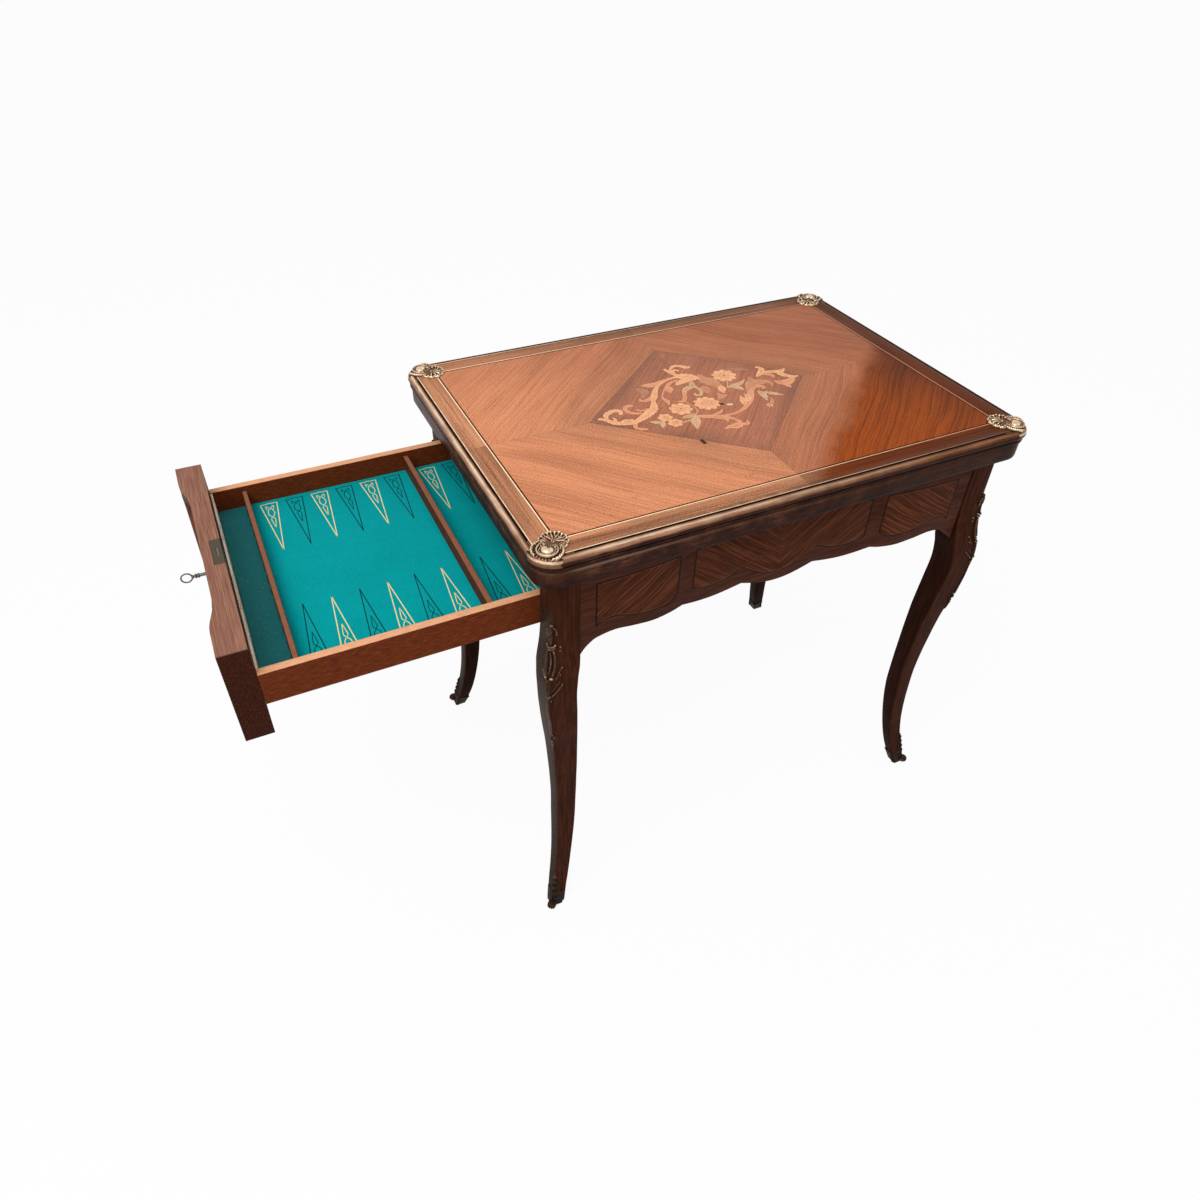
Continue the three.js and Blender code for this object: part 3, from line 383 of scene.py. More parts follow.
def rgb(tone):
    """Linear red, green and blue of a hex number, of a grey from 0 to 1, or of a colour that is linear already."""
    if isinstance(tone, int):
        return linear(tone)
    return (tone,) * 3 if isinstance(tone, float) else tuple(tone)


def shade(tone, factor):
    """A colour made lighter or darker: each of its parts times the factor, and at most 1."""
    return tuple(min(c * factor, 1.0) for c in rgb(tone))


def sums(operation, swapped=False):
    """A method that makes one Math node from a value and another value or number."""

    def method(self, other=0.0):
        """The node's result."""
        first, second = (other, self) if swapped else (self, other)
        return self.nodes.give("Math", first, second, set_operation=operation)

    return method


class Value:
    """What a node gives. Sums, comparisons and abs() on it make Math nodes in its own tree."""

    __array_ufunc__ = None  # so that a numpy number leaves the sum to this class
    __add__ = __radd__ = sums("ADD")
    __mul__ = __rmul__ = sums("MULTIPLY")
    __sub__, __rsub__ = sums("SUBTRACT"), sums("SUBTRACT", swapped=True)
    __truediv__, __abs__ = sums("DIVIDE"), sums("ABSOLUTE")
    __gt__, __lt__ = sums("GREATER_THAN"), sums("LESS_THAN")
    above, below = sums("MAXIMUM"), sums("MINIMUM")

    def __init__(self, nodes, socket):
        self.nodes, self.socket = nodes, socket

    def rise(self, start, end):
        """0 at start and 1 at end, straight between them."""
        return self.nodes.give("MapRange", self, start, end, 0.0, 1.0)

    def choose(self, a, b):
        """a where this is 0 and b where it is 1, for numbers."""
        return self.nodes.give("Mix", self, None, a, b, set_data_type="FLOAT")

    def ramp(self, *stops):
        """A colour ramp over (place, grey or colour) stops."""
        node = self.nodes.node("ValToRGB", self)
        while len(node.color_ramp.elements) < len(stops):
            node.color_ramp.elements.new(0.5)
        for element, (place, tone) in zip(node.color_ramp.elements, stops):
            element.position, element.color = place, (*rgb(tone), 1)
        return Value(self.nodes, node.outputs[0])

    def shades(self, tone, *stops):
        """A ramp of one colour over (place, how much lighter or darker) stops."""
        return self.ramp(*((place, shade(tone, factor)) for place, factor in stops))


def most(first, *others):
    """The greatest of some values."""
    for other in others:
        first = first.above(other)
    return first


class Nodes:
    """A tree of nodes in the making. An input that is a Value or a socket is linked, and any other is set."""

    def __init__(self, owner):
        owner.use_nodes = True
        self.tree = owner.node_tree
        self.tree.nodes.clear()

    def feed(self, socket, value):
        """Links or sets one input."""
        if isinstance(value, (Value, bpy.types.NodeSocket)):
            self.tree.links.new(getattr(value, "socket", value), socket)
        elif value is not None:
            socket.default_value = (*rgb(value), 1) if socket.type == "RGBA" else value

    def node(self, kind, *inputs, **named):
        """A node, with inputs in order and by name (words joined by _), and settings that begin with set_."""
        node = self.tree.nodes.new("ShaderNode" + kind)
        for key in [key for key in named if key.startswith("set_")]:
            setattr(node, key[4:], named.pop(key))
        by_name = [(node.inputs[key.replace("_", " ")], value) for key, value in named.items()]
        for socket, value in [*zip(node.inputs, inputs), *by_name]:
            self.feed(socket, value)
        return node

    def give(self, kind, *inputs, output=0, **named):
        """What such a node gives."""
        return Value(self, self.node(kind, *inputs, **named).outputs[output])

    def unlit(self):
        """1 on rays from the camera and on those seen in metal and glass, 0 on the rest."""
        rays = self.node("LightPath").outputs
        return most(*(Value(self, rays[f"Is {kind} Ray"]) for kind in ("Camera", "Glossy", "Transmission")))


class Recipe(Nodes):
    """A material in the making, round one Principled shader."""

    def __init__(self, name, gloss, **settings):
        self.material = bpy.data.materials.new(name)
        super().__init__(self.material)
        self.shader = self.node("BsdfPrincipled", Specular_IOR_Level=gloss, **settings)
        self.output = self.node("OutputMaterial", self.shader.outputs[0])

    def blend(self, share, a, b, how="MIX"):
        """Blends two colours."""
        unused = [None] * 5
        return self.give("Mix", share, *unused, a, b, output=2, set_data_type="RGBA", set_blend_type=how)

    def tint(self, a, b):
        """One colour times another."""
        return self.blend(1.0, a, b, "MULTIPLY")

    def layers(self, tone, *coats):
        """A colour under several others, each with its share of what lies below it."""
        for share, coat in coats:
            tone = self.blend(share, tone, coat)
        return tone

    def place(self, scale=1.0, turn=0.0, centre=(0, 0, 0)):
        """Millimetres from a centre, turned about Z and then scaled, read from the object's own coordinates."""
        vector = self.give("TexCoord", output="Object")
        vector = self.give("Mapping", vector, -(MIDDLE + centre), (0, 0, 0), (1 / MM,) * 3)
        if turn:
            vector = self.give("Mapping", vector, (0, 0, 0), (0, 0, turn))
        return self.give("Mapping", vector, (0, 0, 0), (0, 0, 0), np.ones(3) * scale)

    def axes(self):
        """Millimetres along X, Y and Z."""
        return [Value(self, socket) for socket in self.node("SeparateXYZ", self.place()).outputs]

    def wear(self):
        """The piece's own wear attribute, from 0 to 1: real wear and patina together with painted light."""
        return self.give("Attribute", output="Fac", set_attribute_name="wear")

    def noise(self, scale, detail=3.0, rough=0.55, bend=0.0, turn=0.0):
        """Fractal noise from 0 to 1 over millimetres times a scale, or over a vector."""
        vector = scale if isinstance(scale, Value) else self.place(scale, turn)
        return self.give("TexNoise", Vector=vector, Scale=1, Detail=detail, Roughness=rough, Distortion=bend)

    def bump(self, height, strength, distance):
        """Bumps the shader's surface; the distance is in millimetres."""
        self.feed(self.shader.inputs["Normal"],
                  self.give("Bump", Strength=strength, Distance=distance * MM, Height=height))

    def done(self, tone, roughness):
        """Feeds the shader and gives the material."""
        self.feed(self.shader.inputs["Base Color"], tone)
        self.feed(self.shader.inputs["Roughness"], roughness)
        return self.material


def grain(r, tone, along, streak, size, rough):
    """Straight grain: long streaks, broad bands and short pores, all drawn out along one axis."""
    spread = np.where([axis == along for axis in "XYZ"], 0.06, 1) / size
    streaks, bands = r.noise(spread * 0.3, 5, 0.65, 0.2), r.noise(spread * 0.045, 3, 0.5, 0.8)
    pore = r.noise(spread * 1.5, 2, 0.6).rise(0.6, 0.68)
    tones = r.blend(streak, streaks.shades(tone, (0.34, 0.42), (0.5, 1), (0.66, 1.9)),
                    bands.shades(tone, (0.3, 0.6), (0.5, 1), (0.7, 1.5)))
    r.bump(streaks * 0.4 - pore, 0.3, 0.12)
    return r.blend(pore * 0.6, tones, shade(tone, 0.25)), bands.ramp((0.25, rough + 0.1), (0.75, rough - 0.06))


def wood(name, tone, along, streak, size, rough):
    """Straight-grained wood."""
    r = Recipe(name, 0.02)
    return r.done(*grain(r, tone, along, streak, size, rough))


def leg_wood_painted_light(name, tone):
    """Leg wood with painted light, as the wear attribute says: painted shade darkens the inner faces, the long sides
    stay brown, and a painted grey reflection lies on the ends below the head.
    """
    r = Recipe(name, 0.01)
    tones, roughness = grain(r, tone, "Z", 0.4, 1.2, 0.36)
    face, height = r.wear(), r.axes()[2]
    # Painted reflection: grey on the ends below the head; the tint before it paints shade on the inner faces
    grey = r.noise((0.7, 0.7, 0.14), 4, 0.7).ramp((0.34, 0x21160F), (0.52, 0x33231A), (0.68, 0x4A362A))
    tones = r.tint(tones, face.ramp((0, 0.36), (0.4, 0.78), (0.5, 0.86)))
    return r.done(r.blend(face.rise(0.62, 0.95) * height.rise(668, 648), tones, grey), roughness)


# Distances from the top's middle to the lozenge's four corners, and the bow of its back right side
LOZENGE = {"left": 197.0, "right": 174.0, "back": 171.0, "front": 170.0, "bow": 0.26}


def top_veneer(name, top):
    """Quarter-matched veneer with a lozenge, a banded border and old scratches; painted sheen makes it paler towards
    the front left, and where no sheen is painted, at the front right and the right end, it is deeper orange and darker.
    """
    r = Recipe(name, 0.03)
    x, y, _ = r.axes()
    ax, ay = abs(x), abs(y)
    clouds = r.noise(0.014, 4, 0.6)
    sway = (r.noise(0.0045, 1, 0.4) - 0.5) * 44
    inset = top.string_inset / MM
    past_x, past_y = ax - (HALF_LENGTH - inset), ay - (HALF_DEPTH - inset)
    border, side = past_x.above(past_y) > 0, past_x > past_y
    right, front = x > 0, y < 0
    across, down = (ax / right.choose(LOZENGE["left"], LOZENGE["right"]),
                    ay / front.choose(LOZENGE["back"], LOZENGE["front"]))
    share = across + down - across * down * (right * (1.0 - front)) * LOZENGE["bow"]
    lozenge = share < 1
    # Rough distance inside the lozenge's edge
    rim = (1.0 - share) * 126
    # Along and across the grain in the quarters, in the lozenge and in the border
    quarter = (ax - ay) * DIAGONAL, (ax + ay) * DIAGONAL + sway
    middle = x * 0.68 + y * 0.73, x * -0.73 + y * 0.68 + sway * 0.3
    edging = side.choose(x, y), side.choose(y, x)
    along, across = (border.choose(lozenge.choose(q, m), e) for q, m, e in zip(quarter, middle, edging))
    region = border * 7.3 + lozenge * 3.1 + (right * 0.45 + front * 1.1)

    def figure(length_scale, width_scale, detail, rough):
        """Noise drawn out along the grain."""
        return r.noise(r.give("CombineXYZ", along * length_scale, across * width_scale, region), detail, rough)

    ribbon, streaks = figure(0.003, 0.03, 2, 0.5), figure(0.005, 0.4, 3, 0.62)
    lines, pores = figure(0.012, 1.0, 3, 0.75), figure(0.08, 1.7, 1, 0.5)
    # Painted sheen: the quarters and the border are paler towards the front left and darker towards the back right
    # (sheen_fade)
    slope = x * 0.8 + y + (clouds - 0.5) * 140
    sheen_fade = slope.rise(-200, 330).above(right * front * 0.7)
    # Painted reflection: beyond a slanting line at the front right no sheen is painted, so the top is deeper orange
    # there (no_sheen), and darker still near the right end (dim)
    no_sheen = (x * 0.65 - y * 0.76 + (streaks - 0.5) * 60 + (clouds - 0.5) * 40).rise(186, 218)
    dim = x.rise(230, 390) * (no_sheen * y.rise(-260, -40) * 0.9 + 0.15)
    tone = r.layers(top.veneer, (sheen_fade, top.back_veneer), (lozenge, top.lozenge), (no_sheen * 0.97, top.polish),
                    (dim, shade(top.polish, 0.25)))
    # The border takes the same painted light: darker towards the back right, deeper orange past the slanting line, and
    # darkest at the right end
    band = r.layers(top.banding, (sheen_fade, shade(top.banding, 0.5)), (no_sheen, shade(top.polish, 0.58)),
                    (x.rise(280, 380), shade(top.polish, 0.34)))
    ripple = r.blend(border, ribbon.ramp((0.32, 0.8), (0.5, 0.95), (0.66, 1.0)),
                     ribbon.ramp((0.34, 0.6), (0.5, 0.95), (0.66, 1.12)))
    tone = r.tint(r.blend(border, tone, band), ripple)
    darker = r.tint(tone, (0.46, 0.38, 0.35))
    lighter = r.blend(0.5, tone, (1, 0.84, 0.66), "SOFT_LIGHT")
    deep = no_sheen.above(border).choose(0.55, 1.0)
    # Grey-brown shadow inside the lozenge's edge, a fainter one outside it, and dark joints
    inlaid = lozenge.above(border)
    shadow = rim.rise(38, 6) * lozenge * clouds.rise(0.25, 0.6)
    outside = rim.rise(-80, -2) * (1.0 - inlaid) * clouds.rise(0.2, 0.6)
    joint = abs(rim).rise(1.0, 0.3) * (1.0 - border)
    seam = ax.below(ay).rise(0.6, 0.15) * (0.6 - inlaid * 0.6)
    # Grime beside the moulding, small stains, a spill near the front, and fine wear
    marks, specks, dust = r.noise(0.06, 5, 0.72), r.noise(0.22, 3, 0.6), r.noise(0.5, 3, 0.75)
    grime = (ax - HALF_LENGTH).above(ay - HALF_DEPTH).rise(-25, -15) * marks.rise(0.22, 0.5)
    spill = r.give("VectorMath", r.place((0.055, 0.09, 0.09), centre=(-64, -214, TOP)), output="Value",
                   set_operation="LENGTH")
    spill = (specks - spill * 0.16).rise(0.5, 0.54).above(specks.rise(0.7, 0.73))
    scratches = (r.noise((0.012, 0.55, 1), 2, 0.5, turn=0.7).rise(0.735, 0.765),
                 r.noise((0.02, 0.8, 1), 2, 0.5, turn=-0.9).rise(0.74, 0.77))
    tone = r.layers(
        tone,
        (streaks.rise(0.5, 0.37) * deep, darker), (streaks.rise(0.52, 0.66) * 0.75, lighter),
        (lines.rise(0.49, 0.36) * deep * 0.9, darker), (lines.rise(0.53, 0.66) * 0.6, lighter),
        (pores.rise(0.58, 0.68) * 0.42, darker),
        (shadow * 0.72, 0x745446), (outside * 0.5, 0x8C6650), (joint.above(seam) * 0.6, 0x4A3026),
        (grime * (x.rise(-330, -120) * 0.6 + 0.3), 0x54392C), (marks.rise(0.64, 0.74) * 0.6, darker),
        (spill * 0.6, 0x4A2A1C), *((scratch * 0.5, darker) for scratch in scratches),
        (dust.rise(0.5, 0.66) * 0.95, lighter), (dust.rise(0.5, 0.34) * 0.55, darker),
    )
    r.bump(lines * 0.5 + dust * 0.25, 0.2, 0.1)
    return r.done(tone, clouds * 0.2 + dust * 0.18 + 0.16)


def moulded_wood(name, tone, worn_highlight):
    """Dark polished edge wood, as the wear attribute says: painted shade makes it black in its grooves, and a painted
    highlight, partly real rubbing, makes its round parts pale.
    """
    r = Recipe(name, 0.04)
    x, y, z = r.axes()
    side = abs(x) - HALF_LENGTH > abs(y) - HALF_DEPTH
    coarse, fine = (side.choose(r.noise((0.02 * k, 0.4 * k, 0.4 * k), 5, 0.6),
                                r.noise((0.4 * k, 0.02 * k, 0.4 * k), 5, 0.6)) for k in (1, 3))
    cloud = r.noise(0.03, 4, 0.6)
    share = r.wear() + (cloud - 0.5) * 0.45 + (fine - 0.5) * 0.45
    # The painted highlight is strongest towards the left end, where the moulding reflects the bright surroundings, and
    # weaker towards the right and on the front left corner itself
    pale = x.rise(220, -330) * ((x + y).rise(-630, -565) * 0.65 + 0.35)
    ends = (0x4A2A1A, 0x74482E, 0x8E6242), (0x8C5C44, 0xB88C6E, worn_highlight)
    tones = r.blend(pale, *(share.ramp((0.06, shade(tone, 0.12)), (0.26, tone), *zip((0.5, 0.72, 0.95), end))
                            for end in ends))
    tones = r.tint(tones, coarse.ramp((0.3, 0.5), (0.52, 0.92), (0.7, 1.0)))
    # A painted grey highlight along the lower leaf's rounded top edge at the front, near its left end
    strip = z.rise(734.4, 735.6) * z.rise(739, 738) * x.rise(-170, -280) * x.rise(-352, -336) * y.rise(-255, -262)
    r.bump(fine, 0.25, 0.12)
    return r.done(r.blend(strip * 0.8, tones, 0x786A5E), cloud.ramp((0.3, 0.24), (0.7, 0.4)))


def inlay(name, tone, scorch=0.75, far=None):
    """Thin inlaid wood: fine straight grain and a faint scorch, and, when one is given, another tone towards the
    table's right, which is a painted reflection.
    """
    r = Recipe(name, 0.05)
    fine, patches = r.noise((0.14, 1.2, 1), 3, 0.6, turn=0.6), r.noise(0.11, 4, 0.65)
    # Painted reflection: the tone darkens to far towards the table's right, and stays paler at the left
    if far:
        tone = r.blend(r.axes()[0].rise(-260, 330), tone, far)
    tones = r.tint(tone, fine.ramp((0.3, 0.84), (0.5, 0.96), (0.7, 1.0)))
    tones = r.blend(patches.rise(0.46, 0.62) * scorch, tones, r.tint(tones, (0.68, 0.54, 0.42)))
    return r.done(tones, patches.ramp((0.3, 0.28), (0.7, 0.4)))


def panel_veneer(name, tone, light, lean):
    """Panel veneer with long light streaks that lean one way or meet in the middle like a chevron."""
    r = Recipe(name, 0.02)
    x, y, z = r.axes()
    # Length along whichever face this is: x on the long aprons, y on the ends
    u = (abs(x) > FRAME_LENGTH - 20).choose(x, y)
    if lean == 0:
        u, lean = abs(u), 0.75
    across, along = z - u * lean + r.noise(0.012, 1) * 14, u + z * lean
    streaks, pores = (r.noise(r.give("CombineXYZ", along * a, across * b, 0.0), detail, rough)
                      for a, b, detail, rough in ((0.006, 0.27, 4, 0.62), (0.03, 1.0, 3, 0.6)))
    tones = streaks.ramp((0.36, shade(tone, 0.6)), (0.5, tone), (0.6, light), (0.72, shade(light, 1.2)))
    tones = r.blend(0.4, tones, pores.ramp((0.36, shade(tone, 0.45)), (0.5, tone), (0.62, light)))
    r.bump(streaks, 0.15, 0.1)
    return r.done(tones, streaks.ramp((0.3, 0.3), (0.7, 0.42)))


def drawer_front_wood(name):
    """Fine straight veneer that runs across the table, dark on the ends and pale along the top."""
    r = Recipe(name, 0.02)
    _, (_, half_width, top) = cad("drawer_front")
    _, y, z = r.axes()
    fine, bands = r.noise((0.9, 0.02, 0.5), 5, 0.65), r.noise((0.12, 0.01, 0.12), 3, 0.6)
    pale = fine.ramp((0.3, 0x64402F), (0.5, 0x8C6150), (0.7, 0xAE8068))
    dark = fine.ramp((0.34, 0x200E08), (0.5, 0x3C1C12), (0.68, 0x643824))
    tones = r.blend(z.rise(top - 1.6, top - 0.4), dark, r.blend(bands * 0.5, pale, 0x7A5244))
    tones = r.blend(abs(y).rise(half_width - 1.2, half_width - 0.3) * 0.35, tones, 0x2A120C)
    r.bump(fine, 0.2, 0.15)
    return r.done(tones, bands.ramp((0.3, 0.35), (0.7, 0.5)))


def edged_wood(name, tone, pale, along):
    """Mahogany boards whose faces that look up, such as their top edges, are paler than their sides."""
    r = Recipe(name, 0.02)
    spread = np.where([axis == along for axis in "XYZ"], 0.08, 0.9)
    fine, pore = r.noise(spread, 5, 0.65), r.noise(spread * 3, 2, 0.6).rise(0.6, 0.7)
    up = r.give("SeparateXYZ", r.give("TexCoord", output="Normal"), output=2)
    tones = r.blend(up.rise(0.5, 0.9), fine.shades(tone, (0.32, 0.5), (0.5, 1), (0.68, 1.75)),
                    fine.shades(pale, (0.3, 0.7), (0.5, 1), (0.72, 1.2)))
    r.bump(fine - pore, 0.2, 0.12)
    return r.done(r.blend(pore * 0.5, tones, shade(tone, 0.3)), fine.ramp((0.3, 0.55), (0.7, 0.42)))


def cloth(name, tone, lint=0.0):
    """Felted wool: soft clouds, short fuzz and specks of lint."""
    r = Recipe(name, 0.02, Sheen_Weight=0.03, Sheen_Roughness=0.5)
    clouds, fuzz = r.noise(0.02, 4, 0.6), r.noise(0.9, 5, 0.8, 0.8)
    threads = r.noise((0.3, 1.8, 1), 3, 0.7, turn=0.5)
    tones = r.blend(0.7, clouds.shades(tone, (0.3, 0.8), (0.7, 1.14)),
                    fuzz.shades(tone, (0.34, 0.5), (0.5, 1), (0.68, 1.6)))
    tones = r.blend(threads.rise(0.58, 0.72) * 0.3, tones, shade(tone, 1.9))
    if lint:
        specks = r.give("TexVoronoi", Vector=r.place(), Scale=0.16)
        tones = r.blend(specks.rise(0.12, 0.05) * lint, tones, (0.36, 0.42, 0.38))
    r.bump(fuzz + threads * 0.5, 0.6, 0.4)
    return r.done(tones, 0.92)


def cast_metal(name, bright, middle, dull, rough, start=0.36):
    """Chased metal, as the wear attribute says: a painted highlight on the high places, and patina with painted shade
    in the hollows.
    """
    r = Recipe(name, 0.15, Metallic=0.6)
    share = r.wear() + (r.noise(0.3, 4, 0.65) - 0.5) * 0.4
    halfway = np.array(rgb(middle)) * 0.6 + np.array(rgb(bright)) * 0.4
    tones = share.ramp((start - 0.26, dull), (start, middle), (start + 0.24, halfway), (start + 0.5, bright))
    r.bump(r.noise(1.6, 3, 0.6), 0.3, 0.12)
    return r.done(tones, share.ramp((0.25, rough + 0.3), (0.7, rough)))


def pale_floor(name, glow):
    """Pale floor: part plain white to the camera and to reflections, the rest matt so that the shadow stays."""
    r = Recipe(name, 0.5, Base_Color=0.86, Roughness=0.9)
    white = r.node("Emission", 1.0, 1.0)
    mix = r.node("MixShader", r.unlit() * glow, r.shader.outputs[0], white.outputs[0])
    r.feed(r.output.inputs[0], mix.outputs[0])
    return r.material


# Finishes that no setting changes: what makes each one, and its values
PLAIN = {
    "light_string": (inlay, 0xFFEAC2, 0.3, 0xD89468), "dark_string": (inlay, 0x0A0504, 0.05),
    # fillet: a pale strip painted as the highlight on the quirk's edge, darker towards the right
    "fillet": (inlay, 0xF6DCB8, 0.6, 0x7E5238), "panel_string": (inlay, 0x7E5032, 0.3),
    "drawer_front_wood": (drawer_front_wood,), "drawer_side_wood": (edged_wood, 0x632D16, 0xE0A47C, "X"),
    "drawer_cross_wood": (edged_wood, 0x55301F, 0x8E5A44, "Y"), "lining_wood": (wood, 0xFFE4C6, "Y", 0.3, 0.8, 0.5),
    "inner_wood": (wood, 0x8A6440, "X", 0.5, 1.0, 0.6), "inner_wood_across": (wood, 0x8A6440, "Y", 0.5, 1.0, 0.6),
    "block_wood": (wood, 0x9A7048, "Z", 0.5, 1.0, 0.6), "brass": (cast_metal, 0xC4AC78, 0x97805A, 0x4A3A24, 0.35),
    "lock_brass": (cast_metal, 0xC2B49A, 0x9A8C78, 0x564C3E, 0.4),
    "steel": (cast_metal, 0xC0C0BC, 0x8A8884, 0x45423E, 0.32),
    "key_steel": (cast_metal, 0xB4AFA8, 0x4E4A46, 0x201C1A, 0.28),
    "bolt_steel": (cast_metal, 0xE4E2DC, 0xB8B4AC, 0x6A6660, 0.25),
}
FINISHES = {}


def finish(name, make=None, *values):
    """A material by its name, made the first time that it is asked for."""
    if name not in FINISHES:
        if make is None:
            make, *values = PLAIN[name]
        FINISHES[name] = make(name, *values)
    return FINISHES[name]


# Top ----------------------------------------------------------------------------------------------------

# Section of the upper leaf: inset from its edge, distance below its top, wear (painted shade at 0 in the groove and
# under the round, a painted highlight, partly real rubbing, up to 0.98 on the round)
UPPER_SECTION = [
    (11.1, 0.05, 0.6), (10.9, 1.3, 0), (9.2, 1.5, 0), (8.5, 0.8, 0.1), (7.9, 0.15, 0.3), (7.0, 0, 0.44),
    (5.6, 0.25, 0.74), (4, 1.0, 0.98), (2.5, 2.2, 0.78), (1.4, 3.6, 0.66), (0.7, 5.1, 0.56), (0.2, 6.8, 0.32),
    (0, 8.5, 0.2), (0.1, 9.8, 0.24), (0.5, 11, 0.25), (1.1, 12, 0.2), (1.8, 12.7, 0.14), (2.6, 13.2, 0.16),
    (3.6, 13.5, 0.1), (4.6, 13.8, 0), (4.8, 14.4, 0), (3.8, 14.5, 0.14), (2.2, 14.8, 0.26), (1.5, 15.6, 0.24),
    (1.2, 16.4, 0.22), (1.0, 18, 0.2), (1.1, 19, 0.18), (1.4, 19.6, 0.18), (1.9, 20.3, 0.1), (2.6, 20.8, 0.04),
    (3.4, 21.6, 0),
]
# Its rounded part, from the crown to the outermost line
ROUND = UPPER_SECTION[5:13]
# Section of the lower leaf: inset from the upper one's edge, distance below its own top, wear (a painted highlight on
# its rounded top edge, painted shade towards its bottom)
LOWER_SECTION = [
    (5.8, 0, 0), (5.0, 0.2, 0.4), (4.2, 0.9, 0.55), (3.7, 2.0, 0.4), (3.5, 3.6, 0.34), (3.4, 5.5, 0.27),
    (3.4, 14, 0.24), (3.5, 20, 0.2), (3.8, 22.4, 0.12), (4.4, 24, 0.04), (5.6, 24.9, 0),
]
RECESS_CORNER = 12
# Where the painted highlight on the quirk's edge lies
FILLET_HIGHLIGHT = {"inset": 11.2, "width": 1.3}
STRING_LIFT, STRING_DEPTH, STRING_GAP = 0.04, 0.6, 0.6


def leaf(rows, corner, border):
    """A leaf's rings: a rounded rectangle for each (inset, height, wear), and the wear of every point."""
    rings = np.array([rectangle_ring(HALF_LENGTH - inset, HALF_DEPTH - inset,
                                     RECESS_CORNER if inset == border else corner - inset, height)
                      for inset, height, _ in rows])
    return rings, np.repeat([[wear] for _, _, wear in rows], rings.shape[1], 1)


def felt_sheet(name, node, body, material, slot, step):
    """A closed slab of felt whose face ripples: 0.06 * sin(x / 31) * cos(y / 23) + 0.03 * sin((x + 2 y) / 9)."""
    lo, hi = cad(node)
    nx, ny = (max(int((hi[i] - lo[i]) / step), 8) for i in (0, 1))
    x, y = np.meshgrid(np.linspace(lo[0], hi[0], nx), np.linspace(lo[1], hi[1], ny), indexing="ij")
    rise = 0.06 * np.sin(x / 31) * np.cos(y / 23) + 0.03 * np.sin((x + 2 * y) / 9)
    inside = (x > lo[0] + 1) & (x < hi[0] - 1) & (y > lo[1] + 1) & (y < hi[1] - 1)
    face = np.stack([x, y, np.where(inside, hi[2] - 0.1 + rise, hi[2] - 0.5)], -1)
    piece = Shell().sheet(face, (0, 0, lo[2] - hi[2] + 0.5)).piece(name, body, [material], slot, [node], 80)


class TABLE_OT_top(bpy.types.Operator):
    """Makes both leaves of the top, with their moulded edges, stringing and baize"""

    bl_idname = "games_table.top"
    bl_label = "Top"

    def execute(self, context):
        top = context.scene.games_table_top
        corner, border = top.corner / MM, top.border / MM
        veneer = finish("top_veneer", top_veneer, top)
        edge = finish("moulded_wood", moulded_wood, top.moulding, top.worn_highlight)
        upper_recess = cad("upper_leaf")[0][2] + 0.05, cad("upper_baize")[1][2] + 0.3
        lower_top = cad("lower_leaf")[1][2] - 0.05
        rings, wear = leaf([*((inset, TOP - drop, worn_highlight) for inset, drop, worn_highlight in UPPER_SECTION),
                            *((border, height, 0.2) for height in upper_recess)], corner, border)
        shell = Shell().loft(rings, 1, wear)
        shell.faces[-2] = (shell.faces[-2][0], 0)
        shell.piece("top_upper_leaf", "top_upper", [veneer, edge], "top_veneer", ["upper_leaf"], 30)
        rings, wear = leaf([*((border, height, 0.2) for height in (cad("lower_baize")[0][2], lower_top)),
                            *((inset, lower_top - drop, worn_highlight) for inset, drop, worn_highlight in LOWER_SECTION)], corner, border)
        Shell().loft(rings, 0, wear).piece("top_lower_leaf", "top_lower", [edge], "dark_wood", ["lower_leaf"], 30)

        # Stringing: a light line with a dark one inside it, and along the moulding a pale strip that is a painted
        # highlight on the quirk's edge
        shell = Shell()
        width = top.string_width / MM
        inset = top.string_inset / MM
        lines = ((inset, width, 0.01), (inset + width + STRING_GAP, width * 1.3, 0.01),
                 (FILLET_HIGHLIGHT["inset"], FILLET_HIGHLIGHT["width"], corner - FILLET_HIGHLIGHT["inset"]))
        for tone, (start, size, radius) in enumerate(lines):
            section = [(start, -STRING_DEPTH), (start, STRING_LIFT), (start + size, STRING_LIFT),
                       (start + size, -STRING_DEPTH)]
            rings = np.stack([rectangle_ring(HALF_LENGTH - i, HALF_DEPTH - i, radius, TOP + z, 8)
                              for i, z in section], 1)
            shell.add(np.concatenate([rings, rings[:1]]), [grid(len(rings) + 1, 4, True)], tone)
        shell.piece("top_stringing", "top_upper", [finish(n) for n in ("light_string", "dark_string", "fillet")],
                    "light_wood")
        for side in ("upper", "lower"):
            felt_sheet(side + "_baize_cloth", side + "_baize", "top_" + side,
                       finish("baize", cloth, top.baize), "baize", 6)
        return {"FINISHED"}


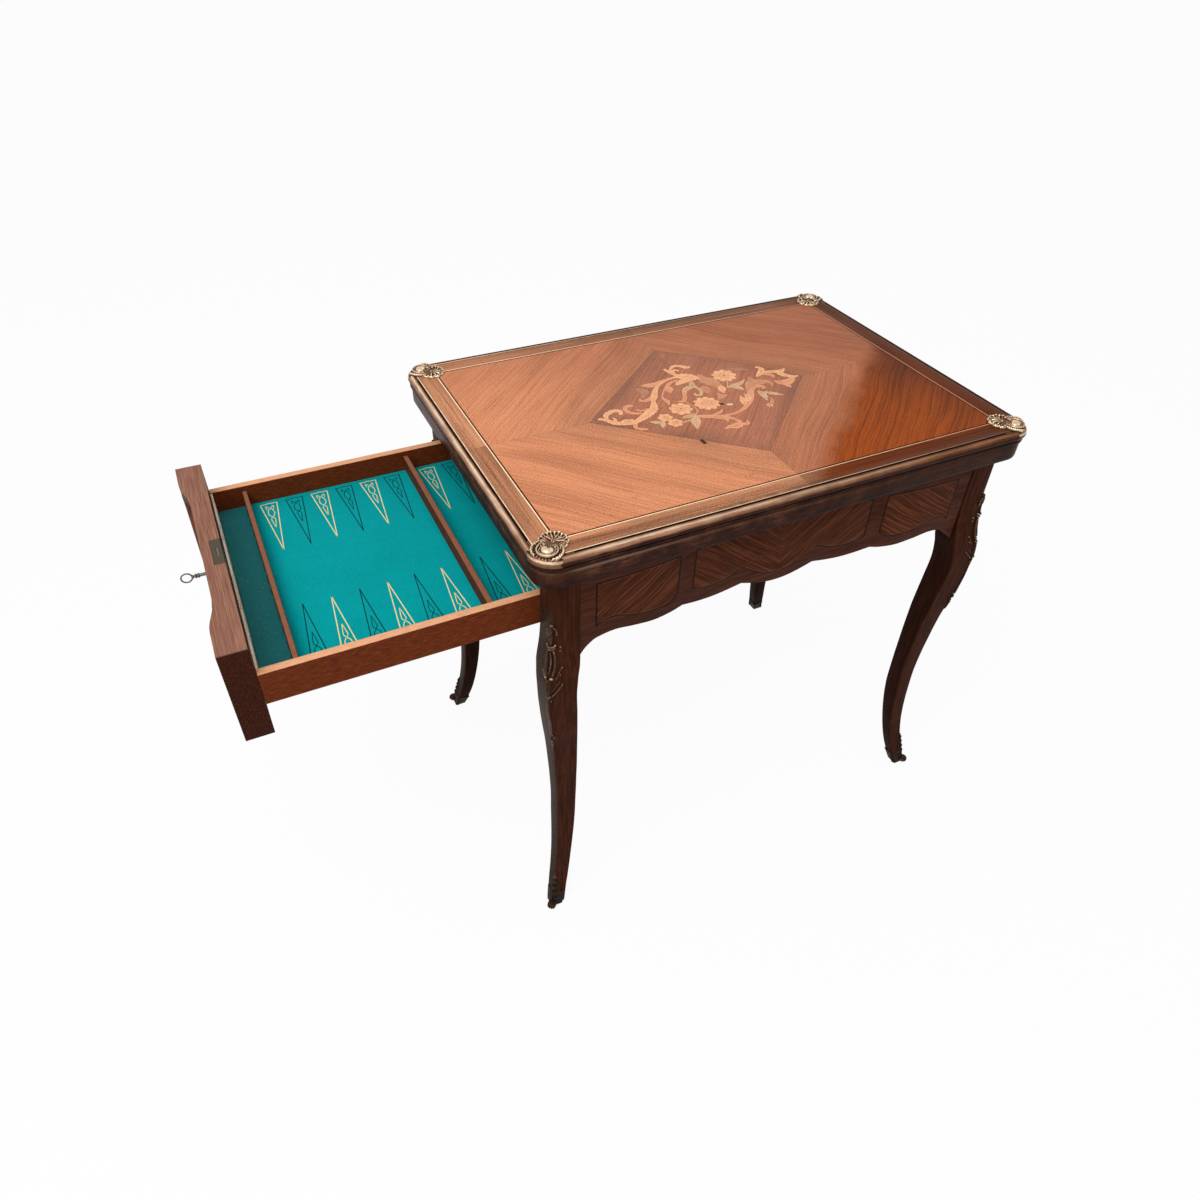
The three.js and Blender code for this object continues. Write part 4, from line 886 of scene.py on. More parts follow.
# Inlaid scrolls: wood, then rows of (x, y, width) in millimetres from the middle of the top
SCROLLS = [
    ("honey", [(-182, 3.6, 3.6), (-176.4, 1.8, 5.9), (-170.7, -5, 6.8), (-165, -14.1, 9.1), (-153.6, -21.4, 8.2),
        (-140, -25.5, 7.7), (-124.1, -19.8, 10), (-105.9, -10, 14.1), (-93.4, -1.6, 12.7), (-87.3, 8.6, 10),
        (-82, 20, 5.9), (-74.1, 32.5, 10), (-66.1, 45, 8.2), (-57, 56.4, 5.9), (-44.5, 65.9, 4.1), (-26.4, 72.7, 3.6),
        (-10.5, 75.2, 4.1)]),
    ("honey", [(-169.1, -7.3, 2.7), (-169.1, 1.8, 5), (-166.1, 9.8, 7.7), (-158.2, 15, 8.2), (-149.1, 17.3, 8.2),
        (-142.7, 13.2, 7.7), (-143.4, 6.4, 5.5), (-146.8, 3.6, 2.7)]),
    ("honey", [(-165, -14.1, 5.5), (-159.3, -7.3, 5), (-160, 0, 1.8)]),
    ("honey", [(-153.6, -19.8, 2.3), (-149.1, -14.5, 5), (-135.5, -19.8, 5.9)]),
    ("amber", [(-135.5, -25.5, 6.8), (-139.5, -31.8, 5.9), (-141.8, -40.2, 5.5), (-135.5, -47, 6.4),
        (-127.7, -49.3, 2.3)]),
    ("amber", [(-115, -5.5, 4.1), (-124.1, -2.3, 5.5), (-130.5, 4.1, 5.9), (-132.7, 13.2, 5.9), (-129.1, 20, 5.9),
        (-121.8, 21.8, 5.5), (-116.8, 18.2, 2.3)]),
    ("amber", [(-99.1, 1.4, 5.5), (-108.2, 0.9, 5), (-114.5, 3, 4.1), (-117.7, 8.6, 1.8)]),
    ("amber", [(-75.2, 30.9, 10), (-86.6, 27.3, 7.7), (-94.5, 26.4, 5.9), (-98.6, 30.2, 5.5), (-97.3, 35, 2.3)]),
    ("amber", [(-77, 71.1, 1.4), (-67.3, 68.6, 9.5), (-53.6, 67.3, 10), (-33.2, 73, 5.9), (-10.5, 76.4, 4.5)]),
    ("amber", [(-71.8, 66.6, 2.3), (-63.9, 62.7, 5), (-53.6, 65.5, 4.5)]),
    ("honey", [(-12.7, 79.1, 10), (0.9, 71.1, 19.1), (11.1, 64.3, 15.9), (18.6, 55.9, 3.6)]),
    ("honey", [(-24.5, 51.8, 4.1), (-16.1, 56.4, 10), (-1.4, 59.8, 12.3), (15.7, 58.6, 5.5)]),
    ("honey", [(-8.6, 80.9, 7.7), (-12.7, 90.5, 6.8), (-15, 99.5, 5.9), (-16.6, 106.8, 4.5)]),
    ("honey", [(-9.3, 85.9, 4.5), (-9.3, 97.3, 4.5), (-4.8, 105.5, 5), (3.2, 109.8, 6.4), (12.3, 105.9, 7.3),
        (19.1, 97.7, 7.7), (26.4, 99.5, 1.4)]),
    ("honey", [(-8.2, 82.5, 3.2), (-8.2, 91.6, 3.2), (-3.6, 96.8, 4.1), (1.4, 94.5, 3.6), (-0.5, 90.5, 1.4)]),
    ("amber", [(-15, 65.5, 3.2), (-26.4, 63.6, 5.5), (-35.5, 58.2, 5.9), (-44.5, 50.7, 3.2), (-53.6, 40.5, 2.3),
        (-60.5, 31.4, 2.3), (-64.5, 22.3, 3.6), (-62.7, 12, 6.8), (-65.5, 1.4, 1.8)]),
    ("amber", [(-38.2, 52.3, 5.9), (-42.3, 43.9, 13.2), (-45.5, 33.2, 2.7)]),
    ("sage", [(-24.5, 29.1, 6.8), (-15, 35.9, 10), (-4.1, 38.2, 9.1), (0, 47.7, 7.7), (3.2, 52.3, 1.8)]),
    ("sage", [(-1.8, 35.9, 5.5), (0.5, 26.8, 4.5), (-0.2, 17.7, 4.5), (-7, 9.1, 4.5), (-13.9, 12.7, 3.6),
        (-10.9, 17.7, 1.8)]),
    ("amber", [(-23, 29.1, 7.7), (-28.6, 20, 5.5), (-33.2, 9.8, 5.9), (-41.1, 2.3, 5.5), (-49.1, 5.7, 1.4)]),
    ("rose", [(-38.2, 1.8, 2.3), (-35, -16.4, 2.7), (-35, -30, 3.2), (-42.3, -39.1, 2.3)]),
    ("rose", [(23.6, 70.5, 2.3), (24.1, 57.5, 13.6), (20.2, 40.5, 13.6)]),
    ("rose", [(18, 54.1, 9.1), (29.3, 40.5, 25), (35, 20, 9.1)]),
    ("rose", [(11.8, 30.9, 9.1), (9.5, 22.3, 16.4), (8.2, 10.5, 5.9)]),
    ("rose", [(13, -14.1, 1.4), (21.4, -7.3, 11.4), (30.9, -7.7, 2.3)]),
    ("rose", [(17.3, 3.6, 2.3), (21.8, -3.9, 7.7), (21.4, -11.8, 3.2)]),
    ("honey", [(38.9, 24.1, 2.3), (33.9, 13.2, 12.3), (29.3, 0, 2.3)]),
    ("sage", [(54.3, 31.4, 1.8), (49.8, 22.3, 1.8), (44.1, 14.3, 1.8)]),
    ("sage", [(43, 13.2, 1.8), (55.5, 15, 8.2), (69.1, 17.3, 7.7), (83.6, 25.9, 0.9)]),
    ("sage", [(50.5, 15, 5), (59.5, 6.4, 10.5), (63.2, -4.1, 1.1)]),
    ("sage", [(-115, -32.7, 3.2), (-107, -38, 7.7), (-96.4, -42.7, 3.2)]),
    ("sage", [(-98.6, -40.2, 5.5), (-102.5, -47, 7.7), (-106.6, -55.7, 1.4)]),
    ("sage", [(-66.6, -41.4, 2.3), (-55.9, -40.9, 9.1), (-44.1, -42.7, 4.1)]),
    ("sage", [(-45.5, -44.8, 5), (-53.6, -57.3, 14.1), (-62.7, -78.2, 1.4)]),
    ("sage", [(-73, -53.2, 2.3), (-58.2, -51.8, 3.2)]),
    ("rose", [(-54.1, -28.9, 3.2), (-48, -36.8, 7.7), (-42.3, -44.1, 4.5)]),
    ("amber", [(-43.4, -46.4, 6.4), (-26.4, -53.9, 9.5), (-8.2, -60, 5.9), (12.3, -60, 5.5), (30.5, -53.9, 5.9),
        (44.1, -43.6, 8.2), (55.5, -31.1, 11.8), (65.7, -18.6, 10.5), (74.8, -8.4, 6.4), (83.9, -2.7, 5.5),
        (91.8, -2.7, 6.8), (96.4, -7.3, 7.3), (92.3, -11.8, 3.2)]),
    ("honey", [(38.4, -44.1, 4.1), (44.1, -32.3, 10.5), (47.7, -17.7, 1.8)]),
    ("honey", [(49.8, -36.8, 5.9), (56.6, -25.5, 9.1), (56.4, -14.5, 1.4)]),
    ("amber", [(0.9, -42.7, 1.4), (-8.2, -49.3, 5.5), (-20.7, -51.8, 2.3)]),
    ("amber", [(-23, -59.5, 5.9), (-8.2, -65.2, 10.9), (0.9, -73.2, 5), (5.9, -85.7, 6.4)]),
    ("amber", [(-26.8, -93.6, 1.1), (-17.3, -91.4, 6.8), (-5.9, -92.5, 13.6), (5.9, -88, 10)]),
    ("amber", [(5.9, -90.9, 5.9), (12.3, -93.6, 5.9), (17.3, -85, 1.4)]),
    ("amber", [(-10.9, -77.3, 1.8), (-8.2, -66.8, 7.3)]),
    ("rose", [(64.1, -14.5, 2.3), (71.4, -2.7, 7.7), (81.6, 8.6, 14.5), (90.7, 17.7, 13.6), (93.2, 30, 1.8)]),
    ("rose", [(81.6, 6.4, 8.2), (98.6, 9.1, 16.8), (112.3, 6.4, 7.7)]),
    ("rose", [(110.5, 9.1, 7.7), (114.5, -0.5, 6.4), (111.1, -10.5, 1.8)]),
    ("ghost", [(72.5, 65.5, 1.8), (89.5, 60.5, 8.2), (106.6, 52.3, 1.8)]),
    ("ghost", [(-87.7, 65.5, 4.5), (-80.9, 51.8, 13.6), (-92.3, 35.9, 4.5)]),
    ("sage", [(81.6, -13.6, 2.3), (82.3, -27.7, 10.9), (77.7, -45.5, 1.4)]),
    ("sage", [(87.7, -20.5, 2.7), (98.6, -31.1, 8.2), (110.9, -41.4, 1.1)]),
    ("rose", [(88.4, -39.1, 1.4), (84.5, -49.3, 5.5), (78.2, -56.1, 5)]),
    ("honey", [(105.5, 26.4, 2.7), (115.7, 32.5, 9.5), (124.1, 40.5, 10), (127.7, 47.7, 6.8), (122.7, 55.9, 5.5)]),
    ("amber", [(119.1, 32.5, 6.4), (128.2, 24.5, 7.7), (130.9, 20, 6.8), (129.3, 12.7, 1.8)]),
    ("honey", [(126.4, 34.8, 5.5), (137.3, 31.4, 8.6), (150.9, 26.8, 10), (163.2, 33.2, 1.4)]),
    ("honey", [(145.9, 28, 8.6), (147.5, 17.7, 11.4), (153.6, 8.6, 9.1), (161.1, 3.4, 7.3), (168.6, 3.2, 1.8)]),
    ("amber", [(157.7, 2.3, 5.5), (148.6, -5, 12.3), (137.3, -8.4, 16.4), (128.2, -3.9, 11.4), (124.5, 4.5, 1.8)]),
    ("amber", [(137.7, -9.5, 11.4), (135, -16.4, 9.1), (135.5, -25.5, 2.3)]),
    ("dark", [(5, -26.8, 3.6), (11.4, -28.6, 5.9)]),
    ("chip", [(14.5, -32.7, 4.1), (22.7, -35.5, 4.5)]),
    ("dark", [(-73.6, -105, 5), (-72.7, -117.5, 5.9)]),
]
# Inlaid flowers: x, y, radius, petals, turn
FLOWERS = [
    (60, 49.5, 20.9, 9, 0.2), (-11.6, -17.5, 20.9, 10, 0.1), (-55.5, -16.8, 18.6, 8, 0.5),
    (-89.5, -30.9, 11.8, 6, 0.3), (-83.2, -49.5, 11.8, 6, 0), (73.2, -60, 5.5, 5, 0),
]
# Woods of the marquetry: colour, and height of the scrolls cut from them
WOODS = {
    "honey": (None, 0.05), "amber": (None, 0.045), "rose": (0xD3946F, 0.04), "sage": (0xDDB18A, 0.055),
    "dark": (0x3A2418, 0.06), "ghost": (0xBA866A, 0.03), "chip": (0xF0D6AE, 0.065), "line": (0xA8704A, 0),
}


def flower(x, y, radius, petals, turn):
    """Outline of a flower: radius * (0.76 + 0.24 * |cos(petals * angle / 2)|^0.7), notched by a faster cosine."""
    angle = circle(petals * 14)
    reach = radius * (0.76 + 0.24 * np.abs(np.cos(petals * (angle + turn) / 2)) ** 0.7
                      - 0.05 * np.abs(np.cos(petals * 1.5 * (angle + turn))))
    return np.stack([x + reach * np.cos(angle), y + reach * np.sin(angle)], -1)


def slab(outline, z0, z1):
    """Rings of a flat closed slab over an outline."""
    return np.stack([np.insert(outline, 2, z, 1) for z in (z0, z1)])


def ribs(path, run, pitch=3.6):
    """Engraved lines on a scroll: one along its middle, and short ones that run from it to both edges."""
    cuts = np.arange(pitch, run[-1] - pitch, pitch)
    x, y, width = (np.interp(cuts, run, column) for column in path.T)
    ahead = np.stack([np.interp(cuts + 0.5, run, column) - np.interp(cuts - 0.5, run, column)
                      for column in path[:, :2].T], -1)
    side = np.stack([-ahead[:, 1], ahead[:, 0]], -1)
    middle = np.stack([x, y], -1)
    tips = [middle + (side * sign * 0.4 + ahead * 0.35) * width[:, None] for sign in (1, -1)]
    lines = [np.array([(*middle[i], 0.35), (*tip[i], 0.15)]) for tip in tips for i in np.flatnonzero(width > 4.5)]
    return lines + [np.insert(middle, 2, 0.3, 1)] * (len(cuts) > 3)


class TABLE_OT_marquetry(bpy.types.Operator):
    """Lays the scrolls, leaves and flowers into the top"""

    bl_idname = "games_table.marquetry"
    bl_label = "Marquetry"

    def execute(self, context):
        honey = context.scene.games_table_top.honey
        tones = {wood: tone for wood, (tone, _) in WOODS.items()}
        tones.update(honey=honey, amber=tuple(c * k for c, k in zip(honey, (0.88, 0.76, 0.78))))
        order = list(WOODS)
        shell = Shell()

        def engrave(rows, height):
            """An engraved line from the top's surface up to a height."""
            shell.loft(stroke(rows, (TOP, height)), order.index("line"))

        for number, (tone, rows) in enumerate(SCROLLS):
            path = curve(rows, 8)
            run = np.concatenate([[0], np.cumsum(np.hypot(*np.diff(path[:, :2], axis=0).T))])
            if tone in ("honey", "amber", "sage"):
                path[:, 2] *= 0.9 + 0.24 * np.abs(np.sin(run * 0.42 + number))
            level = TOP + WOODS[tone][1] + 0.0004 * number
            if tone in ("honey", "amber", "sage", "rose"):
                shell.loft(stroke(path + (0, 0, 0.6), (TOP - 0.2, level - 0.0002)), order.index("line"))
            shell.loft(stroke(path, (TOP - 0.2, level)), order.index(tone))
            if path[:, 2].max() > 5 and tone != "dark":
                for line in ribs(path, run):
                    engrave(line, level + 0.0002)
        for number, (x, y, radius, petals, turn) in enumerate(FLOWERS):
            level = TOP + 0.08 + 0.001 * number
            shell.loft(slab(flower(x, y, radius + 0.5, petals, turn), TOP - 0.2, level - 0.0004), order.index("line"))
            shell.loft(slab(flower(x, y, radius, petals, turn), TOP - 0.2, level), order.index("honey"))
            for k in range(petals * 3):
                # Every third line is a deep one, between two petals
                deep = k % 3 == 0
                angle = (k + 0.5 * deep) * 2 * np.pi / (petals * 3) + np.pi / petals - turn
                share = np.array([0.3, 0.5, 0.9 if deep else 0.7])
                bend = angle + 0.12 * np.sin(9 * share)
                width = np.array([0.5, 0.4, 0.2]) * (1.3 if deep else 0.7)
                rows = np.stack([x + share * radius * np.cos(bend), y + share * radius * np.sin(bend), width], -1)
                engrave(curve(rows, 4), level + 0.0004)
            turns = np.linspace(0, 2 * np.pi, 19)
            for size in (0.3, 0.14):
                ring = [x + radius * size * np.cos(turns), y + radius * size * np.sin(turns), np.full(19, 0.5)]
                engrave(np.stack(ring, -1), level + 0.0006)
        shell.piece("top_marquetry", "top_upper", [finish("inlay_" + k, inlay, v, 0.35) for k, v in tones.items()],
                    "light_wood")
        return {"FINISHED"}


# Legs ---------------------------------------------------------------------------------------------------

LEG = {"swing": 20, "width": 41, "depth": 37.3, "sole": 2.7}
# Share of the leg's height, and share of the swing that its outer faces stand out from the head
LEG_OUTER = smooth([
    (0, 0.9), (0.028, 0.7), (0.059, 0.48), (0.105, 0.17), (0.168, -0.11), (0.224, -0.25), (0.281, -0.325),
    (0.337, -0.36), (0.407, -0.29), (0.463, -0.175), (0.526, -0.02), (0.583, 0.2), (0.631, 0.37), (0.684, 0.51),
    (0.729, 0.555), (0.771, 0.45), (0.835, 0.13), (0.898, 0), (1, 0),
])
# Share of the leg's height, and share of the head's width that its inner faces stand in
LEG_INNER = smooth([
    (0, 0.05), (0.02, 0.16), (0.08, 0.44), (0.136, 0.622), (0.2, 0.777), (0.255, 0.871), (0.317, 0.932), (0.394, 0.96),
    (0.46, 0.957), (0.522, 0.935), (0.581, 0.895), (0.65, 0.84), (0.706, 0.8), (0.748, 0.845), (0.78, 0.93),
    (0.842, 1), (1, 1),
])


def leg_sides(z):
    """Inner and outer distances of a leg's faces from the table's middle at heights z, along X and then Y."""
    out = LEG_OUTER(z / FRAME_TOP) * LEG["swing"]
    inwards = LEG_INNER(z / FRAME_TOP) * LEG["width"]
    inner_side = FRAME_DEPTH - np.minimum(inwards, LEG["depth"])
    return FRAME_LENGTH - inwards, FRAME_LENGTH + out, inner_side, FRAME_DEPTH + out


def leg_rings(z, arris, gap=0.0):
    """Rounded rectangles up a leg, for the corner at +X and +Y."""
    x0, x1, y0, y1 = leg_sides(z)
    x0, x1, y0, y1 = x0 - gap, x1 + gap, y0 - gap, y1 + gap
    r = np.minimum(arris, np.minimum(x1 - x0, y1 - y0) / 3)[:, None]
    turn = np.linspace(0, np.pi / 2, 5)
    rings = []
    for corner, (x, y, sx, sy) in enumerate([(x1, y1, -1, -1), (x0, y1, 1, -1), (x0, y0, 1, 1), (x1, y0, -1, 1)]):
        a = turn + corner * np.pi / 2
        cx, cy = x[:, None] + sx * r, y[:, None] + sy * r
        rings.append(np.stack([cx + r * np.cos(a), cy + r * np.sin(a), np.repeat(z[:, None], 5, 1)], -1))
    return np.concatenate(rings, 1)


def round_leg(z, v, arris, gap=0.05):
    """Point and outward direction on a leg's outer faces at height z, v millimetres round from its outer corner."""
    _, x1, _, y1 = leg_sides(z)
    r = arris + gap
    bend = r * np.pi / 4
    turn = np.clip(v / bend, -1, 1) * np.pi / 4
    rest = np.sign(v) * np.maximum(np.abs(v) - bend, 0)
    nx, ny = np.cos(np.pi / 4 + turn), np.sin(np.pi / 4 + turn)
    x = x1 + gap - r + r * nx - np.maximum(rest, 0)
    y = y1 + gap - r + r * ny + np.minimum(rest, 0)
    return np.stack([x, y, z], -1), np.stack([nx, ny, np.zeros_like(nx)], -1)


class TABLE_OT_legs(bpy.types.Operator):
    """Makes the four legs as smooth lofts with eased corners"""

    bl_idname = "games_table.legs"
    bl_label = "Legs"

    def execute(self, context):
        settings = context.scene.games_table_frame
        tone = finish("leg_wood", leg_wood_painted_light, settings.leg)
        z = np.linspace(LEG["sole"], FRAME_TOP, 170)
        rings = leg_rings(z, settings.arris / MM)
        # Round the ring: the outer corner, then the corners between a long side or an end and the inner faces. The
        # values are painted light for the leg wood: 0 paints shade on the inner faces, 0.5 keeps the long sides brown,
        # 1 paints a grey reflection on the ends
        faces = np.concatenate([np.linspace(1, 0.5, 5), np.linspace(0.5, 0, 5), np.zeros(5), np.linspace(0, 1, 5)])
        for corner, (sx, sy) in CORNERS.items():
            leg = Shell().loft(rings * (sx, sy, 1), 0, np.tile(faces, len(z)))
            leg.piece(f"leg_{corner}_turned", "frame", [tone], "dark_wood", ["leg_" + corner], 40)
        return {"FINISHED"}


# Aprons -------------------------------------------------------------------------------------------------

APRON_DROP, APRON_SETBACK = 123.7, 2
# Each kind of apron: depth of its hollow and where that starts and ends, cusps of its edge, fall at its ends
LONG = {"hollow": 15, "start": 270, "end": 70, "cusps": (62, 163), "fall": 26, "half": FRAME_LENGTH - 41.3,
        "face": FRAME_DEPTH - APRON_SETBACK}
SHORT = {"hollow": 9.5, "start": 165, "end": 110, "cusps": (54, 118), "fall": 30, "half": FRAME_DEPTH - 37.6,
         "face": FRAME_LENGTH - APRON_SETBACK}
CUSPS = FRAME_TOP - APRON_DROP
APRON_END = smooth([(0, 0), (0.13, 0.17), (0.27, 0.23), (0.48, 0.08), (0.67, -0.08), (0.84, 0.08), (0.94, 0.5), (1, 1)])
EASE, NICK = 0.8, 0.23  # rounding of an apron's edges, and how far it passes inside the square corner

# Panels: top edges, lower edges along the face, and the heights of their two strings over it
PANEL_TOP, FRONT_PANEL_TOP, PANEL_CUSP = 680.0, 684.0, 619
LONG_CENTRE = smooth([(0, 592), (20, 595), (34, 601.4), (50, 610.4), (62, PANEL_CUSP)])
LONG_SIDE = smooth([(174, 615), (184, 608), (198, 603.5), (216, 603.3), (232, 605.5), (256, 612), (275, 617.5),
                    (290, 615), (301, 608)])


def face_place(side, u):
    """Distance of an apron's hollow face from the table's middle line, at u along it."""
    t = np.clip((side["start"] - np.abs(u)) / (side["start"] - side["end"]), 0, 1)
    return side["face"] - side["hollow"] * (1 - np.cos(np.pi * t)) / 2


def low_edge(side, u):
    """Height of an apron's shaped edge: a cosine lobe in the middle, a sine lobe each side, then the end's curve."""
    d = np.abs(u)
    inner, outer = side["cusps"]
    middle = CUSPS - 13 * np.cos(np.pi / 2 * d / inner)
    lobe = CUSPS - 6 * np.sin(np.pi * (d - inner) / (outer - inner))
    end = CUSPS - side["fall"] * APRON_END(np.clip((d - outer) / (side["half"] - outer), 0, 1))
    return np.where(d < inner, middle, np.where(d < outer, lobe, end))


def stations(side, count=220):
    """Places along an apron, with each cusp among them."""
    half, cusps = side["half"], side["cusps"]
    marks = [-half, *(-c for c in cusps[::-1]), *cusps, half]
    spread = [np.linspace(a, b, max(int(count * (b - a) / (2 * half)), 6), endpoint=False)
              for a, b in zip(marks, marks[1:])]
    return np.concatenate([*spread, [half]])


def apron_body(side, back):
    """Rings along an apron: back, top, hollow face and shaped edge, each edge eased."""
    u = stations(side)
    face, low = face_place(side, u), low_edge(side, u)
    back, top = np.full_like(u, back), np.full_like(u, FRAME_TOP)
    section = [(face - EASE, low), (face - NICK, low + NICK), (face, low + EASE), (face, (low + top) / 2),
               (face, top - EASE), (face - EASE, top), (back, top), (back, low)]
    return np.stack([np.stack([u, out, z], -1) for out, z in section], 1)


def panel(side, u, lower, upper, lift=0.12, rows=10):
    """A veneer panel on an apron's face: a sheet from the lower to the upper line, lifted off the face."""
    z = lower(u)[:, None] + (upper - lower(u))[:, None] * np.linspace(0, 1, rows)
    flat = [np.repeat(row[:, None], rows, 1) for row in (u, face_place(side, u) + lift)]
    return np.stack([*flat, z], -1)


def panel_line(side, path, width, lift):
    """A thin string on an apron's face along rows of (u, z)."""
    u, z, height = np.moveaxis(stroke(np.insert(curve(path, 5), 2, width, 1), (-0.3, lift)), -1, 0)
    return np.stack([u, face_place(side, u) + height, z], -1)


def dress_apron(side, name, turn, shift, body, panels, materials):
    """Panels and their strings on one face; turn and shift take (along, out, up) to the table's x, y and z."""
    shell = Shell()
    for wood_number, u0, u1, lower, upper in panels:
        sheet = panel(side, np.linspace(u0, u1, max(int((u1 - u0) / 2.5), 12)), lower, upper)
        shell.sheet(sheet @ turn.T + shift, turn @ (0, -0.4, 0), wood_number)
        u = np.linspace(u0, u1, max(int((u1 - u0) / 6), 8))
        low, high = (np.stack([u, z], -1) for z in (lower(u), np.full_like(u, upper)))
        ends = [np.array([low[k], (low[k] + high[k]) / 2, high[k]]) for k in (-1, 0)]
        for line in (low, high[::-1], ends[0], ends[1][::-1]):
            shell.loft(panel_line(side, line, 2.0, 0.2) @ turn.T + shift, 3)
        for line in (low[1:-1] + (0, 1.2), high[1:-1] - (0, 1.2)):
            shell.loft(panel_line(side, line, 0.6, 0.22) @ turn.T + shift, 4)
    shell.piece(name, body, materials, "apron_veneer")


def long_lower(u):
    """Lower line of the middle panel: a lobe under the middle and one each side of it."""
    d = np.abs(u)
    inner, outer = LONG["cusps"]
    lobe = PANEL_CUSP - 13 * np.sin(np.pi * np.clip((d - inner) / (outer - inner), 0, 1))
    return np.where(d < inner, LONG_CENTRE(d), lobe)


def side_lower(u):
    """Lower line of the two side panels."""
    return LONG_SIDE(np.abs(u))


def end_lower(u):
    """Lower line of the panel on an end: two lobes, 18 mm above the shaped edge."""
    return low_edge(SHORT, np.clip(u, -185, 185)) + 18


class TABLE_OT_aprons(bpy.types.Operator):
    """Makes the aprons with their veneered panels, and the veneer on the drawer's front"""

    bl_idname = "games_table.aprons"
    bl_label = "Aprons"

    def execute(self, context):
        settings = context.scene.games_table_frame
        ground, end_ground = (finish(name, wood, shade(settings.leg, 1.15), along, 0.45, 1.0, 0.36)
                              for name, along in (("apron_wood", "X"), ("end_apron_wood", "Y")))
        leans = {"panel_left": 0.7, "panel_middle": 0, "panel_right": -0.7}
        woods = [finish(name, panel_veneer, settings.panel, settings.streak, lean) for name, lean in leans.items()]
        woods += [finish("dark_string"), finish("panel_string")]
        for node, sy in (("apron_front", -1), ("apron_back", 1)):
            turn = np.diag([1, sy, 1])
            rings = apron_body(LONG, abs(cad(node)[0 if sy > 0 else 1][1]))
            Shell().loft(rings @ turn).piece(node + "_shaped", "frame", [ground], "apron_veneer", [node], 40)
            left, right = (0, 2) if sy < 0 else (2, 0)
            panels = [(left, -301, -174, side_lower, PANEL_TOP), (1, -148, 148, long_lower, PANEL_TOP),
                      (right, 174, 301, side_lower, PANEL_TOP)]
            dress_apron(LONG, node + "_panels", turn, 0, "frame", panels, woods)

        turn = np.array([[0, 1, 0], [1, 0, 0], [0, 0, 1]])
        rings = apron_body(SHORT, cad("apron_right")[0][0]) @ turn.T
        Shell().loft(rings).piece("apron_right_shaped", "frame", [end_ground], "apron_veneer", ["apron_right"], 40)
        dress_apron(SHORT, "apron_right_panels", turn, 0, "frame", [(1, -176, 176, end_lower, PANEL_TOP)], woods)
        shift = (cad("drawer_front")[0][0] + SHORT["face"], 0, 0)
        dress_apron(SHORT, "drawer_front_panels", turn * [[-1], [1], [1]], shift, "drawer",
                    [(1, -176, 176, end_lower, FRONT_PANEL_TOP)], woods)
        return {"FINISHED"}


# Drawer -------------------------------------------------------------------------------------------------

# Boards of the drawer: finish, slot and rounding of their edges
BOARDS = {
    "drawer_front": ("drawer_front_wood", "front_veneer", 0.8),
    "drawer_side_front": ("drawer_side_wood", "drawer_wood", 1.0),
    "drawer_side_back": ("drawer_side_wood", "drawer_wood", 1.0),
    "drawer_back": ("drawer_cross_wood", "drawer_wood", 0.8),
    "drawer_divider": ("drawer_cross_wood", "drawer_wood", 1.2),
    "board_bar": ("drawer_cross_wood", "drawer_wood", 1.2),
    "drawer_lining": ("lining_wood", "light_wood", 0.4),
    "drawer_bottom": ("inner_wood", "inner_wood", 0.4),
}
# Each backgammon point's lines, from its base at y = 0: rows of (x, y, width)
POINT_BASE = np.array([(-12.6, 0.4, 1.2), (-6, 1.2, 1.4), (0, 0.2, 1.4), (6, 1.2, 1.4), (12.6, 0.4, 1.2)])
POINT_TWIST = np.array([
    (-4.9, 17, 0.7), (-5.6, 12, 1.1), (-5.2, 7.5, 1.0), (-2.8, 11, 1.2), (0, 13.5, 1.2), (2.8, 18, 1.2), (4.3, 25, 1.2),
    (3.8, 32, 1.2), (0, 38.5, 1.2), (-2.6, 43, 1.1), (-2.4, 49, 1.1), (-1.2, 58, 1.0), (0, 67, 0.8),
])
POINT_START = 190.0  # from the board's middle line to the points' bases


class TABLE_OT_drawer(bpy.types.Operator):
    """Gives the drawer's boards their wood and lays the felts and the backgammon points"""

    bl_idname = "games_table.drawer"
    bl_label = "Drawer"

    def execute(self, context):
        settings = context.scene.games_table_drawer
        for node, (material, slot, width) in BOARDS.items():
            soft_copy(node, "drawer", finish(material), width)
        felt_sheet("board_cloth", "felt_board", "drawer",
                   finish("board_felt", cloth, settings.felt), "baize", 4)
        felt_sheet("compartment_cloth", "felt_pieces", "drawer",
                   finish("compartment_felt", cloth, settings.dark_felt, 0.5), "dark_felt", 2)

        # Backgammon points, six each side of the bar along both sides of the board
        felt = cad("felt_board")[1][2]
        pitch, reach = settings.pitch / MM, settings.point_length / MM
        outer = np.array([(-12.3, 0, 1.5), (-8.2, reach / 3, 1.5), (-4.1, reach * 2 / 3, 1.4), (0, reach, 1.3)])
        mirror = (-1, 1, 1)
        lines = [curve(rows, 4) for rows in (outer, outer * mirror, POINT_BASE, POINT_TWIST, POINT_TWIST * mirror)]
        (bar_start, _, _), (bar_end, _, _) = cad("board_bar")
        middles = (cad("drawer_divider")[1][0] + bar_start) / 2, (bar_end + cad("drawer_back")[0][0]) / 2
        shell = Shell()
        for middle in middles:
            for column in range(6):
                x = middle + (column - 2.5) * pitch
                for side in (1, -1):
                    for line in lines:
                        path = line * (1, -side, 1) + (x, side * POINT_START, 0)
                        shell.loft(stroke(path, (felt - 0.6, felt + 0.1)), (column + (side < 0)) % 2)
        shell.piece("board_points", "drawer", [finish("light_points", cloth, settings.gold),
                                               finish("dark_points", cloth, settings.dark)], "baize")
        return {"FINISHED"}


# Carcase ------------------------------------------------------------------------------------------------

